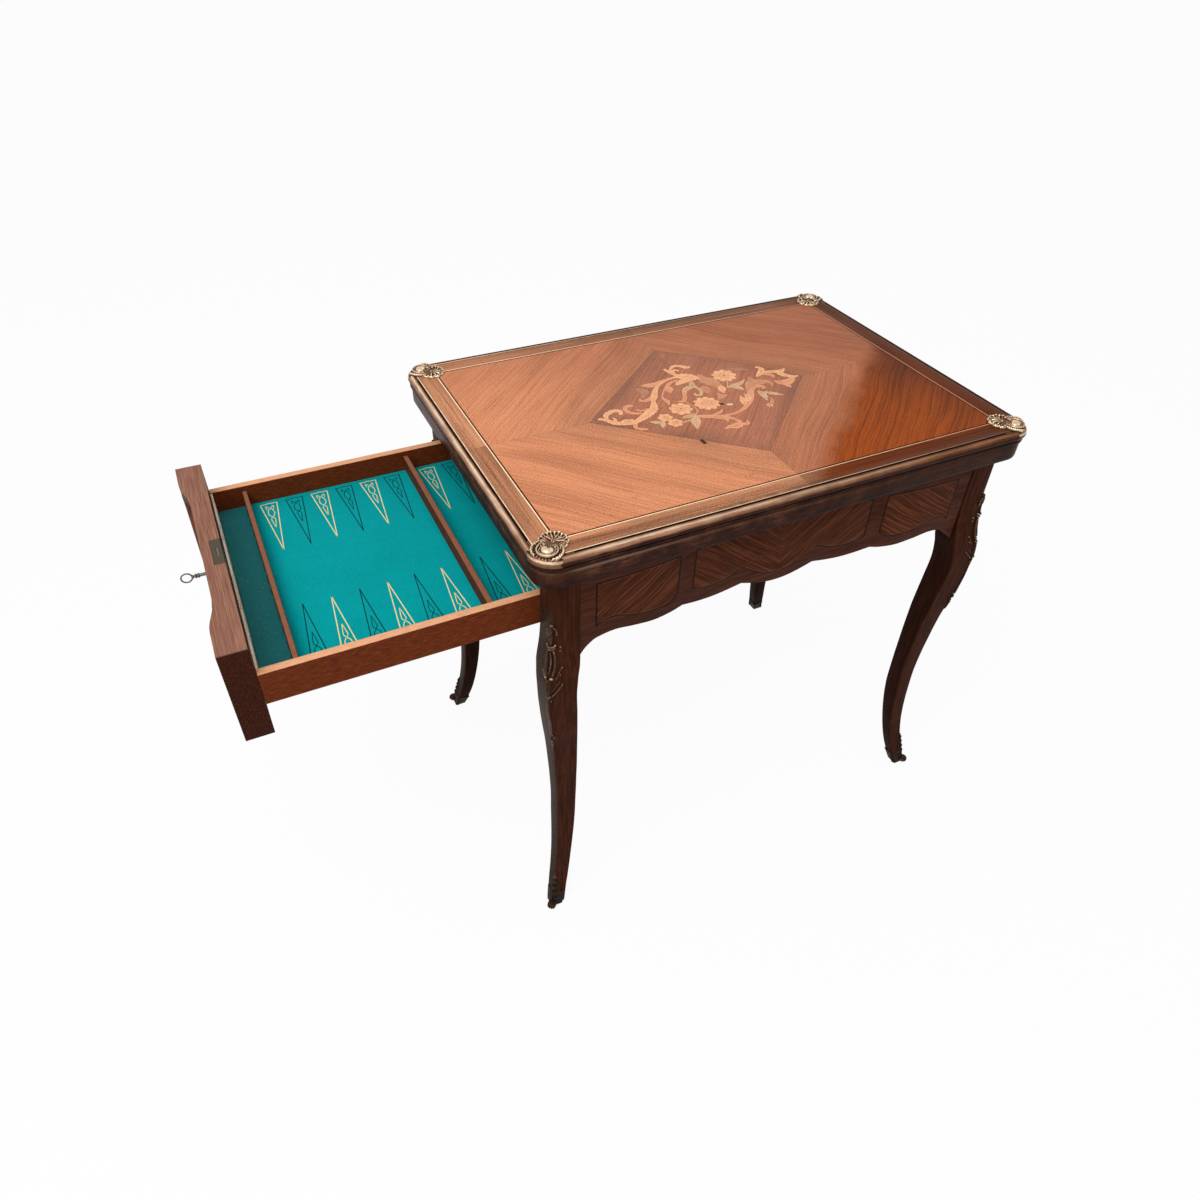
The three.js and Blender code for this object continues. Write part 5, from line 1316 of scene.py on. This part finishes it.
# Boards of the frame: finish and slot
RAILS = {
    "rail_over_drawer": ("rail_wood", "dark_wood"), "rail_under_drawer": ("inner_wood_across", "inner_wood"),
    "well_end": ("inner_wood_across", "inner_wood"), "well_floor": ("inner_wood", "inner_wood"),
    "pivot_board": ("inner_wood_across", "inner_wood"), "drawer_runner_front": ("inner_wood", "inner_wood"),
    "drawer_runner_back": ("inner_wood", "inner_wood"),
    **{"corner_block_" + corner: ("block_wood", "inner_wood") for corner in CORNERS},
}
# Solids that stay as they are, and their finishes
KEPT = {
    "pivot_washer": "brass", "pivot_bolt": "steel", "pivot_nut": "steel", "swivel_stop_peg": "block_wood",
    **{f"hinge_{part}_{side}": tone for part, tone in (("lower", "brass"), ("upper", "brass"), ("pin", "steel"))
       for side in ("left", "right")},
}


class TABLE_OT_carcase(bpy.types.Operator):
    """Gives the rails, boards, runners, hinges and pivot their finishes"""

    bl_idname = "games_table.carcase"
    bl_label = "Carcase"

    def execute(self, context):
        leg = context.scene.games_table_frame.leg
        finish("rail_wood", wood, shade(leg, 1.1), "Y", 0.4, 1.0, 0.38)
        for node, (material, slot) in RAILS.items():
            soft_copy(node, "frame", finish(material), 0.5)
        for node, material in KEPT.items():
            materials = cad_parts[node].data.materials
            materials.clear()
            materials.append(finish(material))
        return {"FINISHED"}


# Lock and key -------------------------------------------------------------------------------------------

BOW, WIRE = 6.7, 1.0  # radius of the key's ring, and of the wire that it is made of
# The key's turned collars: distance from the bow's inner side, radius
COLLARS = [
    (0, 0.8), (0.3, 1.7), (0.9, 2.4), (1.6, 2.6), (2.3, 2.2), (2.7, 1.6), (3.4, 1.5), (4.0, 2.2), (4.6, 3.1),
    (5.2, 3.3), (5.8, 3.0), (6.3, 2.3), (6.9, 2.1), (7.5, 2.6), (8.1, 3.2), (8.8, 3.3), (9.4, 2.8), (9.9, 2.2),
]
SHANK = 2.2
BIT = {"length": 7.7, "half": 0.9, "drop": 7.2, "height": 6.5}


def turned(profile, centre, count=28):
    """Rings of a bar turned about X: rows of (x, radius) round (y, z)."""
    a = circle(count)
    x, radius = (column[:, None] for column in np.array(profile, float).T)
    return np.stack([np.repeat(x, count, 1), centre[0] + radius * np.cos(a), centre[1] + radius * np.sin(a)], -1)


class TABLE_OT_lock(bpy.types.Operator):
    """Makes the key, and gives the lock, its bolt and the escutcheon their finishes"""

    bl_idname = "games_table.lock"
    bl_label = "Lock and key"

    def execute(self, context):
        lo, hi = cad("key")
        plate = cad("escutcheon")
        y, z = (lo[1] + hi[1]) / 2, (plate[0][2] + plate[1][2]) / 2
        bow_x = lo[0] + BOW + WIRE
        start = bow_x + BOW - 0.6
        shank = [(plate[1][0], SHANK), (hi[0] - 0.5, SHANK), (hi[0], SHANK - 0.5)]
        shell = Shell().loft(turned([*((start + place, radius) for place, radius in COLLARS), *shank], (y, z)))
        turn, ring = circle(48)[:, None], circle(12)
        across = BOW + WIRE * np.cos(ring)
        bow = np.stack(np.broadcast_arrays(bow_x + across * np.cos(turn), y + WIRE * np.sin(ring),
                                           z + across * np.sin(turn)), -1)
        shell.add(np.concatenate([bow, bow[:1]]), [grid(49, 12, True)])
        x0, x1, half = hi[0] - BIT["length"], hi[0], BIT["half"]
        foot = np.array([(x0, y - half, z), (x1, y - half, z), (x1, y + half, z), (x0, y + half, z)])
        foot -= (0, 0, BIT["drop"])
        shell.loft(np.stack([foot, foot + (0, 0, BIT["height"])]))
        shell.piece("key_turned", "key", [finish("key_steel")], "steel", ["key"])
        soft_copy("lock_case", "drawer", finish("lock_brass"), 0.25)
        soft_copy("escutcheon", "drawer", finish("brass"), 0.25)
        soft_copy("lock_bolt", "lock_bolt", finish("bolt_steel"), 0.3)
        return {"FINISHED"}


# Bronze mounts ------------------------------------------------------------------------------------------

# Knobs are ((u, v), (half sizes), height), and bars are ([rows of (u, v, radius)], height, depth of their ridges)
SIDES = (1, -1)
SHIELD = [*(((10.4, w * 3.5), (5.0, 4.5), 5.0) for w in SIDES), ((13.2, 0), (5.2, 6.6), 5.5)]
CORNER_KNOBS = SHIELD + [knob for w in SIDES for knob in (((3.6, w * 7.2), (2.2, 2.2), 4.6),
                                                          ((-1.5, w * 12.2), (2.4, 2.0), 3.6))]
CORNER_BARS = [
    # A hoop, the cradle round the shield with a line inside it, and a lip on each side
    ([(3, -9.5, 1.5), (-0.5, -6.5, 1.4), (1, -3.2, 1.0)], 3.6),
    ([(1.5, 9.4, 1.9), (4.5, 11.6, 1.6), (9, 12.6, 1.5), (15, 11.6, 1.5), (20, 7.8, 1.6), (22.2, 2, 1.6),
      (21.8, -4.5, 1.6), (18.4, -9.6, 1.6), (13, -12.2, 1.5), (7, -11.8, 1.5), (3.0, -9.5, 2.0)], 4.3),
    ([(6.2, 7.6, 0.8), (11, 9.3, 0.8), (16.6, 7.6, 0.8), (19.6, 3, 0.8), (19.4, -3, 0.8), (16.2, -7.8, 0.8),
      (11, -9.4, 0.8), (6.4, -8.4, 1.0)], 2.8),
    *(([(-2, w * 13, 1.5), (3, w * 16.6, 1.6), (9, w * 18.4, 1.7), (16, w * 17.6, 1.6), (20.5, w * 14.6, 1.3)],
       3.6, 0.12) for w in SIDES),
    # The shell's petals
    *(([(-8 - d * np.cos(a), d * np.sin(a), r) for d, r in ((3, 1.2), (8, 1.5), (11.5, 0.8))], 3.0)
      for a in np.radians([-68, -34, 0, 34, 68])),
]
# A corner mount's skirt over the moulding: distance outwards, distance below the top, wear (a painted highlight on its
# upper rim, painted shade towards its lower edge)
SKIRT = np.array([
    (-8.0, -0.2, 0), (-5.5, 0.6, 0), (-2.6, 1.5, 0.2), (-0.4, 3.0, 0.5), (0.7, 4.4, 0.72), (0.9, 5.6, 0.38),
    (1.2, 6.8, 0.357), (1.4, 8.2, 0.334), (1.3, 9.6, 0.311), (0.9, 10.8, 0.289), (0.3, 11.8, 0.266),
    (-0.4, 12.5, 0.243), (-0.9, 12.8, 0.22), (-3.2, 13.2, 0.05), (-5.0, 13.0, 0), (-7, 9, 0),
])
CORNER_REACH, RELIEF_SCALE = 31, 1.05

KNEE = {"top": 639.0, "foot": 399.0, "half": 24}
KNEE_KNOBS = [
    # A knob over petals, the knot of beads, beads on the looser strand, and buds
    ((0, 634.5), (2.6, 3.2), 3.6), ((-3.2, 551.5), (2.2, 2.4), 4.8), ((2.6, 551), (2.7, 2.7), 5.2),
    ((12.6, 596.5), (1.6, 1.9), 2.6), ((12.4, 590.5), (1.4, 2.0), 2.2), ((17.4, 563), (1.7, 1.7), 2.7),
    ((15.4, 552), (1.4, 1.4), 2.3), ((0, 519), (2.6, 2.8), 4.4), ((-2.4, 511), (1.8, 2.6), 3.0),
    ((2.2, 509), (1.7, 2.6), 2.8), ((0, 431), (2.4, 4.2), 3.4), ((-2.5, 424), (2.0, 4.0), 3.0),
    ((2.5, 424), (2.0, 4.0), 3.0), ((0, 417), (1.9, 4.2), 3.0),
]
KNEE_BARS = [
    # Three drooping petals, on a stem with a collar
    ([(0, 633, 1.6), (-0.6, 627, 2.4), (-1.6, 619, 2.0), (-2.4, 615, 0.9)], 4.4),
    ([(1, 632, 1.5), (3.8, 629, 2.1), (5.8, 624, 2.1), (6.2, 619, 1.2)], 4.0),
    ([(-1, 632, 1.5), (-5.4, 627, 2.1), (-8.4, 621, 2.0), (-9.2, 616, 1.1)], 3.4),
    ([(0, 618, 1.8), (0, 611, 1.5), (0, 604, 1.8)], 2.6),
    ([(-4.6, 602.6, 1.5), (0, 601.2, 2.0), (4.6, 602.6, 1.5)], 4.6),
    ([(-4.0, 597.4, 1.2), (0, 596, 1.5), (4.0, 597.4, 1.2)], 3.4),
    # Two strands that part under the collar and meet in the knot
    ([(-2.8, 594, 1.9), (-5.0, 585, 2.3), (-5.6, 573, 2.8), (-4.8, 562, 2.6), (-3.4, 555, 1.8)], 4.2),
    ([(2.4, 594, 1.5), (4.6, 585, 1.8), (6.0, 573, 2.2), (5.4, 563, 2.2), (3.6, 555, 1.7)], 4.0),
    ([(-0.6, 592, 0.9), (1.0, 580, 1.0), (0.8, 568, 1.0), (-0.4, 558, 0.8)], 2.0),
    # Leaf tip on one face; on the other a looser strand, and leaves below the knot
    ([(-5, 547, 1.3), (-9, 549, 1.7), (-12.5, 552, 1.4), (-15, 555, 0.7)], 2.8, 0.12),
    ([(12.4, 588, 0.6), (14.0, 580, 0.5), (16, 571, 0.5), (17.2, 565, 0.8)], 0.9),
    ([(16.8, 562, 0.8), (13.8, 556, 0.8), (10.8, 549, 0.8), (8.4, 544, 0.6)], 1.7),
    ([(2, 516, 0.8), (7, 520, 1.2), (11.4, 524.6, 1.8), (16, 529.6, 2.1), (19.6, 534.4, 0.9)], 3.0, 0.1),
    ([(4, 526, 0.8), (9, 531, 1.1), (13, 536, 1.0), (16.4, 539, 0.5)], 1.5),
    ([(-0.6, 547, 2.6), (-1.0, 536, 2.9), (-0.6, 525, 2.4), (0, 518, 1.9)], 3.2, 0.1),
    ([(1.6, 546, 1.2), (1.4, 536, 1.0), (0.8, 526, 0.8)], 2.0),
    # Stem that runs down to the buds, and the tail
    ([(0, 514, 1.7), (-1.4, 500, 1.8), (-0.8, 480, 1.6), (0, 458, 1.5), (0, 438, 1.6)], 3.0),
    ([(0, 414, 1.5), (0, 406, 1.2), (0, 401, 0.7)], 2.4),
]

FOOT = {"top": 76, "sole": 2.8, "half": 22}
FOOT_KNOBS = [((0, place), (size, 4.6), 3.5) for place, size in ((30, 4.2), (42, 3.7), (54, 3.1), (65, 2.4))]
FOOT_BARS = [([(0, 8, 4.4), (0, 30, 4.4), (0, 52, 3.0), (0, 73, 1.0)], 2.2)] + [
    values for w in SIDES for values in (
        ([(w * 1, 24, 1.8), (w * 4.8, 36, 2.4), (w * 6.4, 46, 1.1)], 2.2, 0.14),
        ([(w * 1, 42, 1.4), (w * 3.6, 52, 1.8), (w * 4.4, 60, 0.9)], 2.0),
        ([(w * 2, 10, 2.4), (w * 7, 20, 2.8), (w * 10, 30, 1.3)], 1.6, 0.14))
]
SHOE = {"height": 26, "gap": 0.5, "wear": 0.22}
TOE = {"half": 7.5, "radius": 6.0, "out": 17.2, "up": 6.3, "grooves": 1.7}


def corner_relief(s, t):
    """Height of a corner mount over the top; s runs out along the diagonal and t across it, from the shell's middle."""
    d, turn = np.hypot(s + 8, t), np.arctan2(t, -(s + 8))
    rim = 18.8 - 1.5 * (1 - np.abs(np.cos(turn * 5.5))) * (np.abs(turn) < 2.3)
    ridges = 0.75 * np.cos(turn * 22) * np.clip((d - 6) / 5, 0, 1) * np.clip((rim - d) / 2, 0, 1)
    shell = 1.0 + 2.0 * np.exp(-(((d - rim + 1.5) / 1.2) ** 2)) + ridges - 0.9 * np.exp(-(((d - 11.5) / 3.5) ** 2))
    heart = boss(s, t, (-7, 0), (3.2, 3.2), 3.4) * (1 + 0.18 * np.cos(turn * 7))
    # A frill of fine ribs round the cradle
    d2, turn2 = np.hypot(s - 10, t), np.arctan2(t, s - 10)
    frill_rim = 18.4 + 0.7 * np.abs(np.cos(turn2 * 6))
    frill = 0.9 + 0.35 * np.cos(turn2 * 24) + 2.3 * np.exp(-(((d2 - frill_rim + 1.2) / 0.9) ** 2))
    return relief(s, t, CORNER_KNOBS, CORNER_BARS, np.where(d < rim, shell, BARE), heart,
                  np.where((d2 < frill_rim) & (s > -4), frill, BARE))


def moulding_fall(distance):
    """How far the moulding has fallen below the top at a distance inside its outermost line."""
    x, y, _ = np.array(ROUND)[::-1].T
    return np.where(distance > x[-1], 0, np.interp(distance, x, y))


def corner_plate(steps, radius):
    """A corner mount's face on a polar grid: the top's height, less the moulding's fall, plus the relief."""
    turn = circle(steps * 3)
    reach = CORNER_REACH - 4.7 * np.clip(np.cos(turn), 0, 1) ** 2 - np.abs(np.sin(turn))
    out = np.linspace(0.04, 1, steps)[:, None] * reach
    s, t = out * np.cos(turn) + 1.0, out * np.sin(turn)
    u, v = s / RELIEF_SCALE, t / RELIEF_SCALE
    height = corner_relief(u, v)
    # Painted light: highlights on the high places and brighter still on the shield, patina and painted shade in the
    # hollows
    wear = np.clip(hollows(height, 0.28, 0.5) + 0.3 * (relief(u, v, SHIELD, ()) > 0.6), 0, 1)
    x, y = HALF_LENGTH - CORNER_REACH + (s + t) * DIAGONAL, HALF_DEPTH - CORNER_REACH + (s - t) * DIAGONAL
    from_corner = np.hypot(np.maximum(x - HALF_LENGTH + radius, 0), np.maximum(y - HALF_DEPTH + radius, 0))
    face = np.stack([x, y, TOP - moulding_fall(radius - from_corner) + height + 0.2], -1)
    return np.concatenate([face, face[-1:] - (0, 0, 3)]), np.append(wear, np.zeros(len(turn)))


def corner_skirt(radius, count=41):
    """The skirt's section swept a quarter turn round the corner, and flattened towards both ends: 1 - 0.95 a^4."""
    outwards, drop, _ = SKIRT.T
    way = np.linspace(-1, 1, count)[:, None]
    sweep, taper = np.radians(45 + 42 * way), 1 - way**4 * 0.95
    reach = radius + outwards * taper - 1.2 * (1 - taper)
    x, y = HALF_LENGTH - radius + reach * np.cos(sweep), HALF_DEPTH - radius + reach * np.sin(sweep)
    return np.stack([x, y, np.tile(TOP - drop, (count, 1))], -1)


def leg_mount(size, knobs, bars, rows, columns, arris, base, gain):
    """A relief laid round a leg's outer corner, bare past the leg's edges, and its wear: painted highlights on its
    ridges, patina and painted shade in its hollows.
    """
    w, v = np.meshgrid(np.linspace(size["top"], size.get("foot", size.get("sole")), rows),
                       np.linspace(-size["half"], size["half"], columns), indexing="ij")
    height = relief(v, w, knobs, bars)
    wear = hollows(height, base, gain, 20)
    if "sole" in size:
        spread = LEG_INNER(w / FRAME_TOP) * LEG["width"] + LEG_OUTER(w / FRAME_TOP) * LEG["swing"]
        height = np.where(np.abs(v) > spread - 2, BARE, height)
    point, way = round_leg(w, v, arris)
    return point + way * height[..., None], wear


def shoe_rings(arris):
    """The band round a foot: the leg's own section, a little wider, and higher towards the outer corner."""
    z = np.concatenate([np.linspace(0, 3, 5), np.linspace(4, SHOE["height"], 24)])
    rings = leg_rings(np.maximum(z, 0.1), arris, SHOE["gap"])
    slope = (rings[..., 0] - FRAME_LENGTH + rings[..., 1] - FRAME_DEPTH) / 40
    rings[..., 2] *= 1 + 0.35 * np.clip(slope, -0.5, 1.2) * (z / SHOE["height"])[:, None]
    return rings - (0, 0, 0.1)


def toe_rings():
    """The roll under a foot: a grooved bar across the diagonal, radius * sqrt(1 - (|b| / 7.6)^3.2)."""
    across = np.linspace(-TOE["half"], TOE["half"], 25)[:, None]
    grooves = np.cos(across * TOE["grooves"])
    radius = TOE["radius"] * np.sqrt(np.clip(1 - (np.abs(across) / 7.6) ** 3.2, 0.02, 1)) * (1 - 0.05 * grooves)
    a, up = radius * np.cos(circle(40)) + TOE["out"], radius * np.sin(circle(40)) + TOE["up"]
    rings = np.stack([FRAME_LENGTH + a + across * DIAGONAL, FRAME_DEPTH + a - across * DIAGONAL, up], -1)
    # Tone that follows the grooves: 0.42 where the bar is thinnest and 0.14 where it is fullest
    return rings, np.repeat(0.28 + 0.14 * grooves, 40, 1)


class TABLE_OT_mounts(bpy.types.Operator):
    """Makes the cast mounts on the top's corners, the knees and the feet"""

    bl_idname = "games_table.mounts"
    bl_label = "Bronze mounts"

    def execute(self, context):
        metal = context.scene.games_table_mounts
        arris, radius = context.scene.games_table_frame.arris / MM, context.scene.games_table_top.corner / MM
        steps = metal.grain
        # Both bronzes paint highlights and shade from the wear attribute; 0xE6C29E is the dark bronze's painted
        # highlight
        bright = finish("gilt_bronze", cast_metal, metal.bronze, metal.middle, metal.patina, 0.26)
        dull = finish("dark_bronze", cast_metal, 0xE6C29E, 0x523829, shade(metal.patina, 0.8), 0.34, 0.44)
        plate, plate_patina_and_light = corner_plate(steps, radius)
        skirt = corner_skirt(radius)
        skirt_light = np.tile(SKIRT[:, 2], len(skirt))
        knee, knee_patina_and_light = leg_mount(KNEE, KNEE_KNOBS, KNEE_BARS, steps * 5, int(steps * 1.25), arris, 0.15, 0.22)
        foot, foot_patina_and_light = leg_mount(FOOT, FOOT_KNOBS, FOOT_BARS, steps * 2, steps, arris, 0.13, 0.18)
        shoe, (toe, toe_tones) = shoe_rings(arris), toe_rings()
        for corner, side in CORNERS.items():
            flip = np.array([*side, 1])
            shell = Shell().loft(plate * flip, 0, plate_patina_and_light, (0.6, 0)).loft(skirt * flip, 0, skirt_light)
            name = "corner_mount_" + corner
            shell.piece(name + "_cast", "top_upper", [bright], "gilt_bronze", [name], 60)
        for corner, side in CORNERS.items():
            # Seen from the front, the looser strand hangs on the face towards the middle of the long side
            flip, back = np.array([*side, 1]), np.array([*side, 0]) * -2.0
            name = "knee_mount_" + corner
            shell = Shell().sheet(knee * flip, back, 0, knee_patina_and_light)
            shell.piece(name + "_cast", "frame", [dull], "gilt_bronze", [name], 60)
            name = "sabot_" + corner
            shell = Shell().sheet(foot * flip, back, 0, foot_patina_and_light)
            shell.loft(shoe * flip, 0, np.full(shoe.shape[:2], SHOE["wear"])).loft(toe * flip, 0, toe_tones)
            shell.piece(name + "_cast", "frame", [dull], "gilt_bronze", [name], 60)
        return {"FINISHED"}


# Stage --------------------------------------------------------------------------------------------------

# The photograph's own camera: place in millimetres, focal length in pixels of 1200, and angles in degrees
CAMERA = {"place": (-682.8, -1022.7, 1400.0), "focal": 884.6, "width": 1200, "azimuth": 63.51, "fall": 40.79,
          "roll": 1.46}
SENSOR = 36  # millimetres
LAMP = {"place": (-1.3, -1.1, 2.9), "aim": (0.1, 0, 0.4), "size": (2.6, 2.2)}
FLOOR_RADIUS, FLOOR_DROP = 40, 0.0002


def into_scene(name, data):
    """An object for the data, linked into the scene."""
    thing = bpy.data.objects.new(name, data)
    bpy.context.scene.collection.objects.link(thing)
    return thing


def camera_axes():
    """Columns of the camera's turn: right, up and backwards, from its azimuth, its fall and its roll."""
    azimuth, fall, roll = (np.radians(CAMERA[angle]) for angle in ("azimuth", "fall", "roll"))
    ahead = np.array([np.cos(fall) * np.cos(azimuth), np.cos(fall) * np.sin(azimuth), -np.sin(fall)])
    level = np.array([np.sin(azimuth), -np.cos(azimuth), 0])
    above = np.cross(level, ahead)
    return np.column_stack([np.cos(roll) * level + np.sin(roll) * above,
                            np.cos(roll) * above - np.sin(roll) * level, -ahead])


class TABLE_OT_stage(bpy.types.Operator):
    """Makes the floor, the light and the camera"""

    bl_idname = "games_table.stage"
    bl_label = "Stage"

    def execute(self, context):
        scene = context.scene
        stage = scene.games_table_stage
        scene.view_settings.view_transform = "Standard"
        mesh = bpy.data.meshes.new("floor")
        turn = circle(64)
        rim = np.stack([FLOOR_RADIUS * np.cos(turn), FLOOR_RADIUS * np.sin(turn), np.full(64, -FLOOR_DROP)], -1)
        mesh.from_pydata(rim.tolist(), [], [list(range(64))])
        mesh.materials.append(finish("pale_floor", pale_floor, stage.glow))
        into_scene("floor", mesh)

        world = bpy.data.worlds.new("daylight")
        scene.world = world
        sky = Nodes(world)
        light, white = sky.node("Background", (0.97, 0.985, 1), stage.world), sky.node("Background", 1.0, 1.0)
        mix = sky.node("MixShader", sky.unlit(), light.outputs[0], white.outputs[0])
        sky.node("OutputWorld", mix.outputs[0])

        lamp = bpy.data.lights.new("soft_light", "AREA")
        lamp.shape, lamp.energy, (lamp.size, lamp.size_y) = "RECTANGLE", stage.key, LAMP["size"]
        source = into_scene("soft_light", lamp)
        source.location = LAMP["place"]
        source.rotation_mode = "QUATERNION"
        source.rotation_quaternion = (Vector(LAMP["aim"]) - source.location).to_track_quat("-Z", "Y")

        camera = bpy.data.cameras.new("photo_camera")
        camera.sensor_width, camera.lens = SENSOR, SENSOR * CAMERA["focal"] / CAMERA["width"]
        camera.clip_start, camera.clip_end = 0.05, 100
        view = into_scene("photo_camera", camera)
        place = Matrix(camera_axes().tolist()).to_4x4()
        place.translation = Vector(settle(CAMERA["place"])[0])
        view.matrix_world = place
        scene.camera = view
        return {"FINISHED"}


class TABLE_PT_panel(bpy.types.Panel):
    """Lists the steps that dress the games table"""

    bl_idname = "TABLE_PT_panel"
    bl_label = "Games table"
    bl_space_type = "VIEW_3D"
    bl_region_type = "UI"
    bl_category = "Games Table"

    def draw(self, context):
        for operator, settings in STEPS:
            self.layout.operator(operator.bl_idname)
            if settings:
                group = getattr(context.scene, settings)
                for name in group.bl_rna.properties.keys():
                    if name not in {"rna_type", "name"}:
                        self.layout.prop(group, name)


STEPS = [
    (TABLE_OT_stage, "games_table_stage"), (TABLE_OT_top, "games_table_top"), (TABLE_OT_marquetry, ""),
    (TABLE_OT_legs, "games_table_frame"), (TABLE_OT_aprons, ""), (TABLE_OT_drawer, "games_table_drawer"),
    (TABLE_OT_carcase, ""), (TABLE_OT_lock, ""), (TABLE_OT_mounts, "games_table_mounts"),
]
SETTINGS = {
    "games_table_top": TopSettings, "games_table_frame": FrameSettings, "games_table_drawer": DrawerSettings,
    "games_table_mounts": MountSettings, "games_table_stage": StageSettings,
}


def register():
    for group in SETTINGS.values():
        bpy.utils.register_class(group)
    for name, group in SETTINGS.items():
        setattr(bpy.types.Scene, name, PointerProperty(type=group))
    for operator, _ in STEPS:
        bpy.utils.register_class(operator)
    bpy.utils.register_class(TABLE_PT_panel)


def unregister():
    bpy.utils.unregister_class(TABLE_PT_panel)
    for operator, _ in reversed(STEPS):
        bpy.utils.unregister_class(operator)
    for name in SETTINGS:
        delattr(bpy.types.Scene, name)
    for group in reversed(SETTINGS.values()):
        bpy.utils.unregister_class(group)


def main():
    register()
    for operator, _ in STEPS:
        group, name = operator.bl_idname.split(".")
        getattr(getattr(bpy.ops, group), name)()


if __name__ == "__main__":
    main()
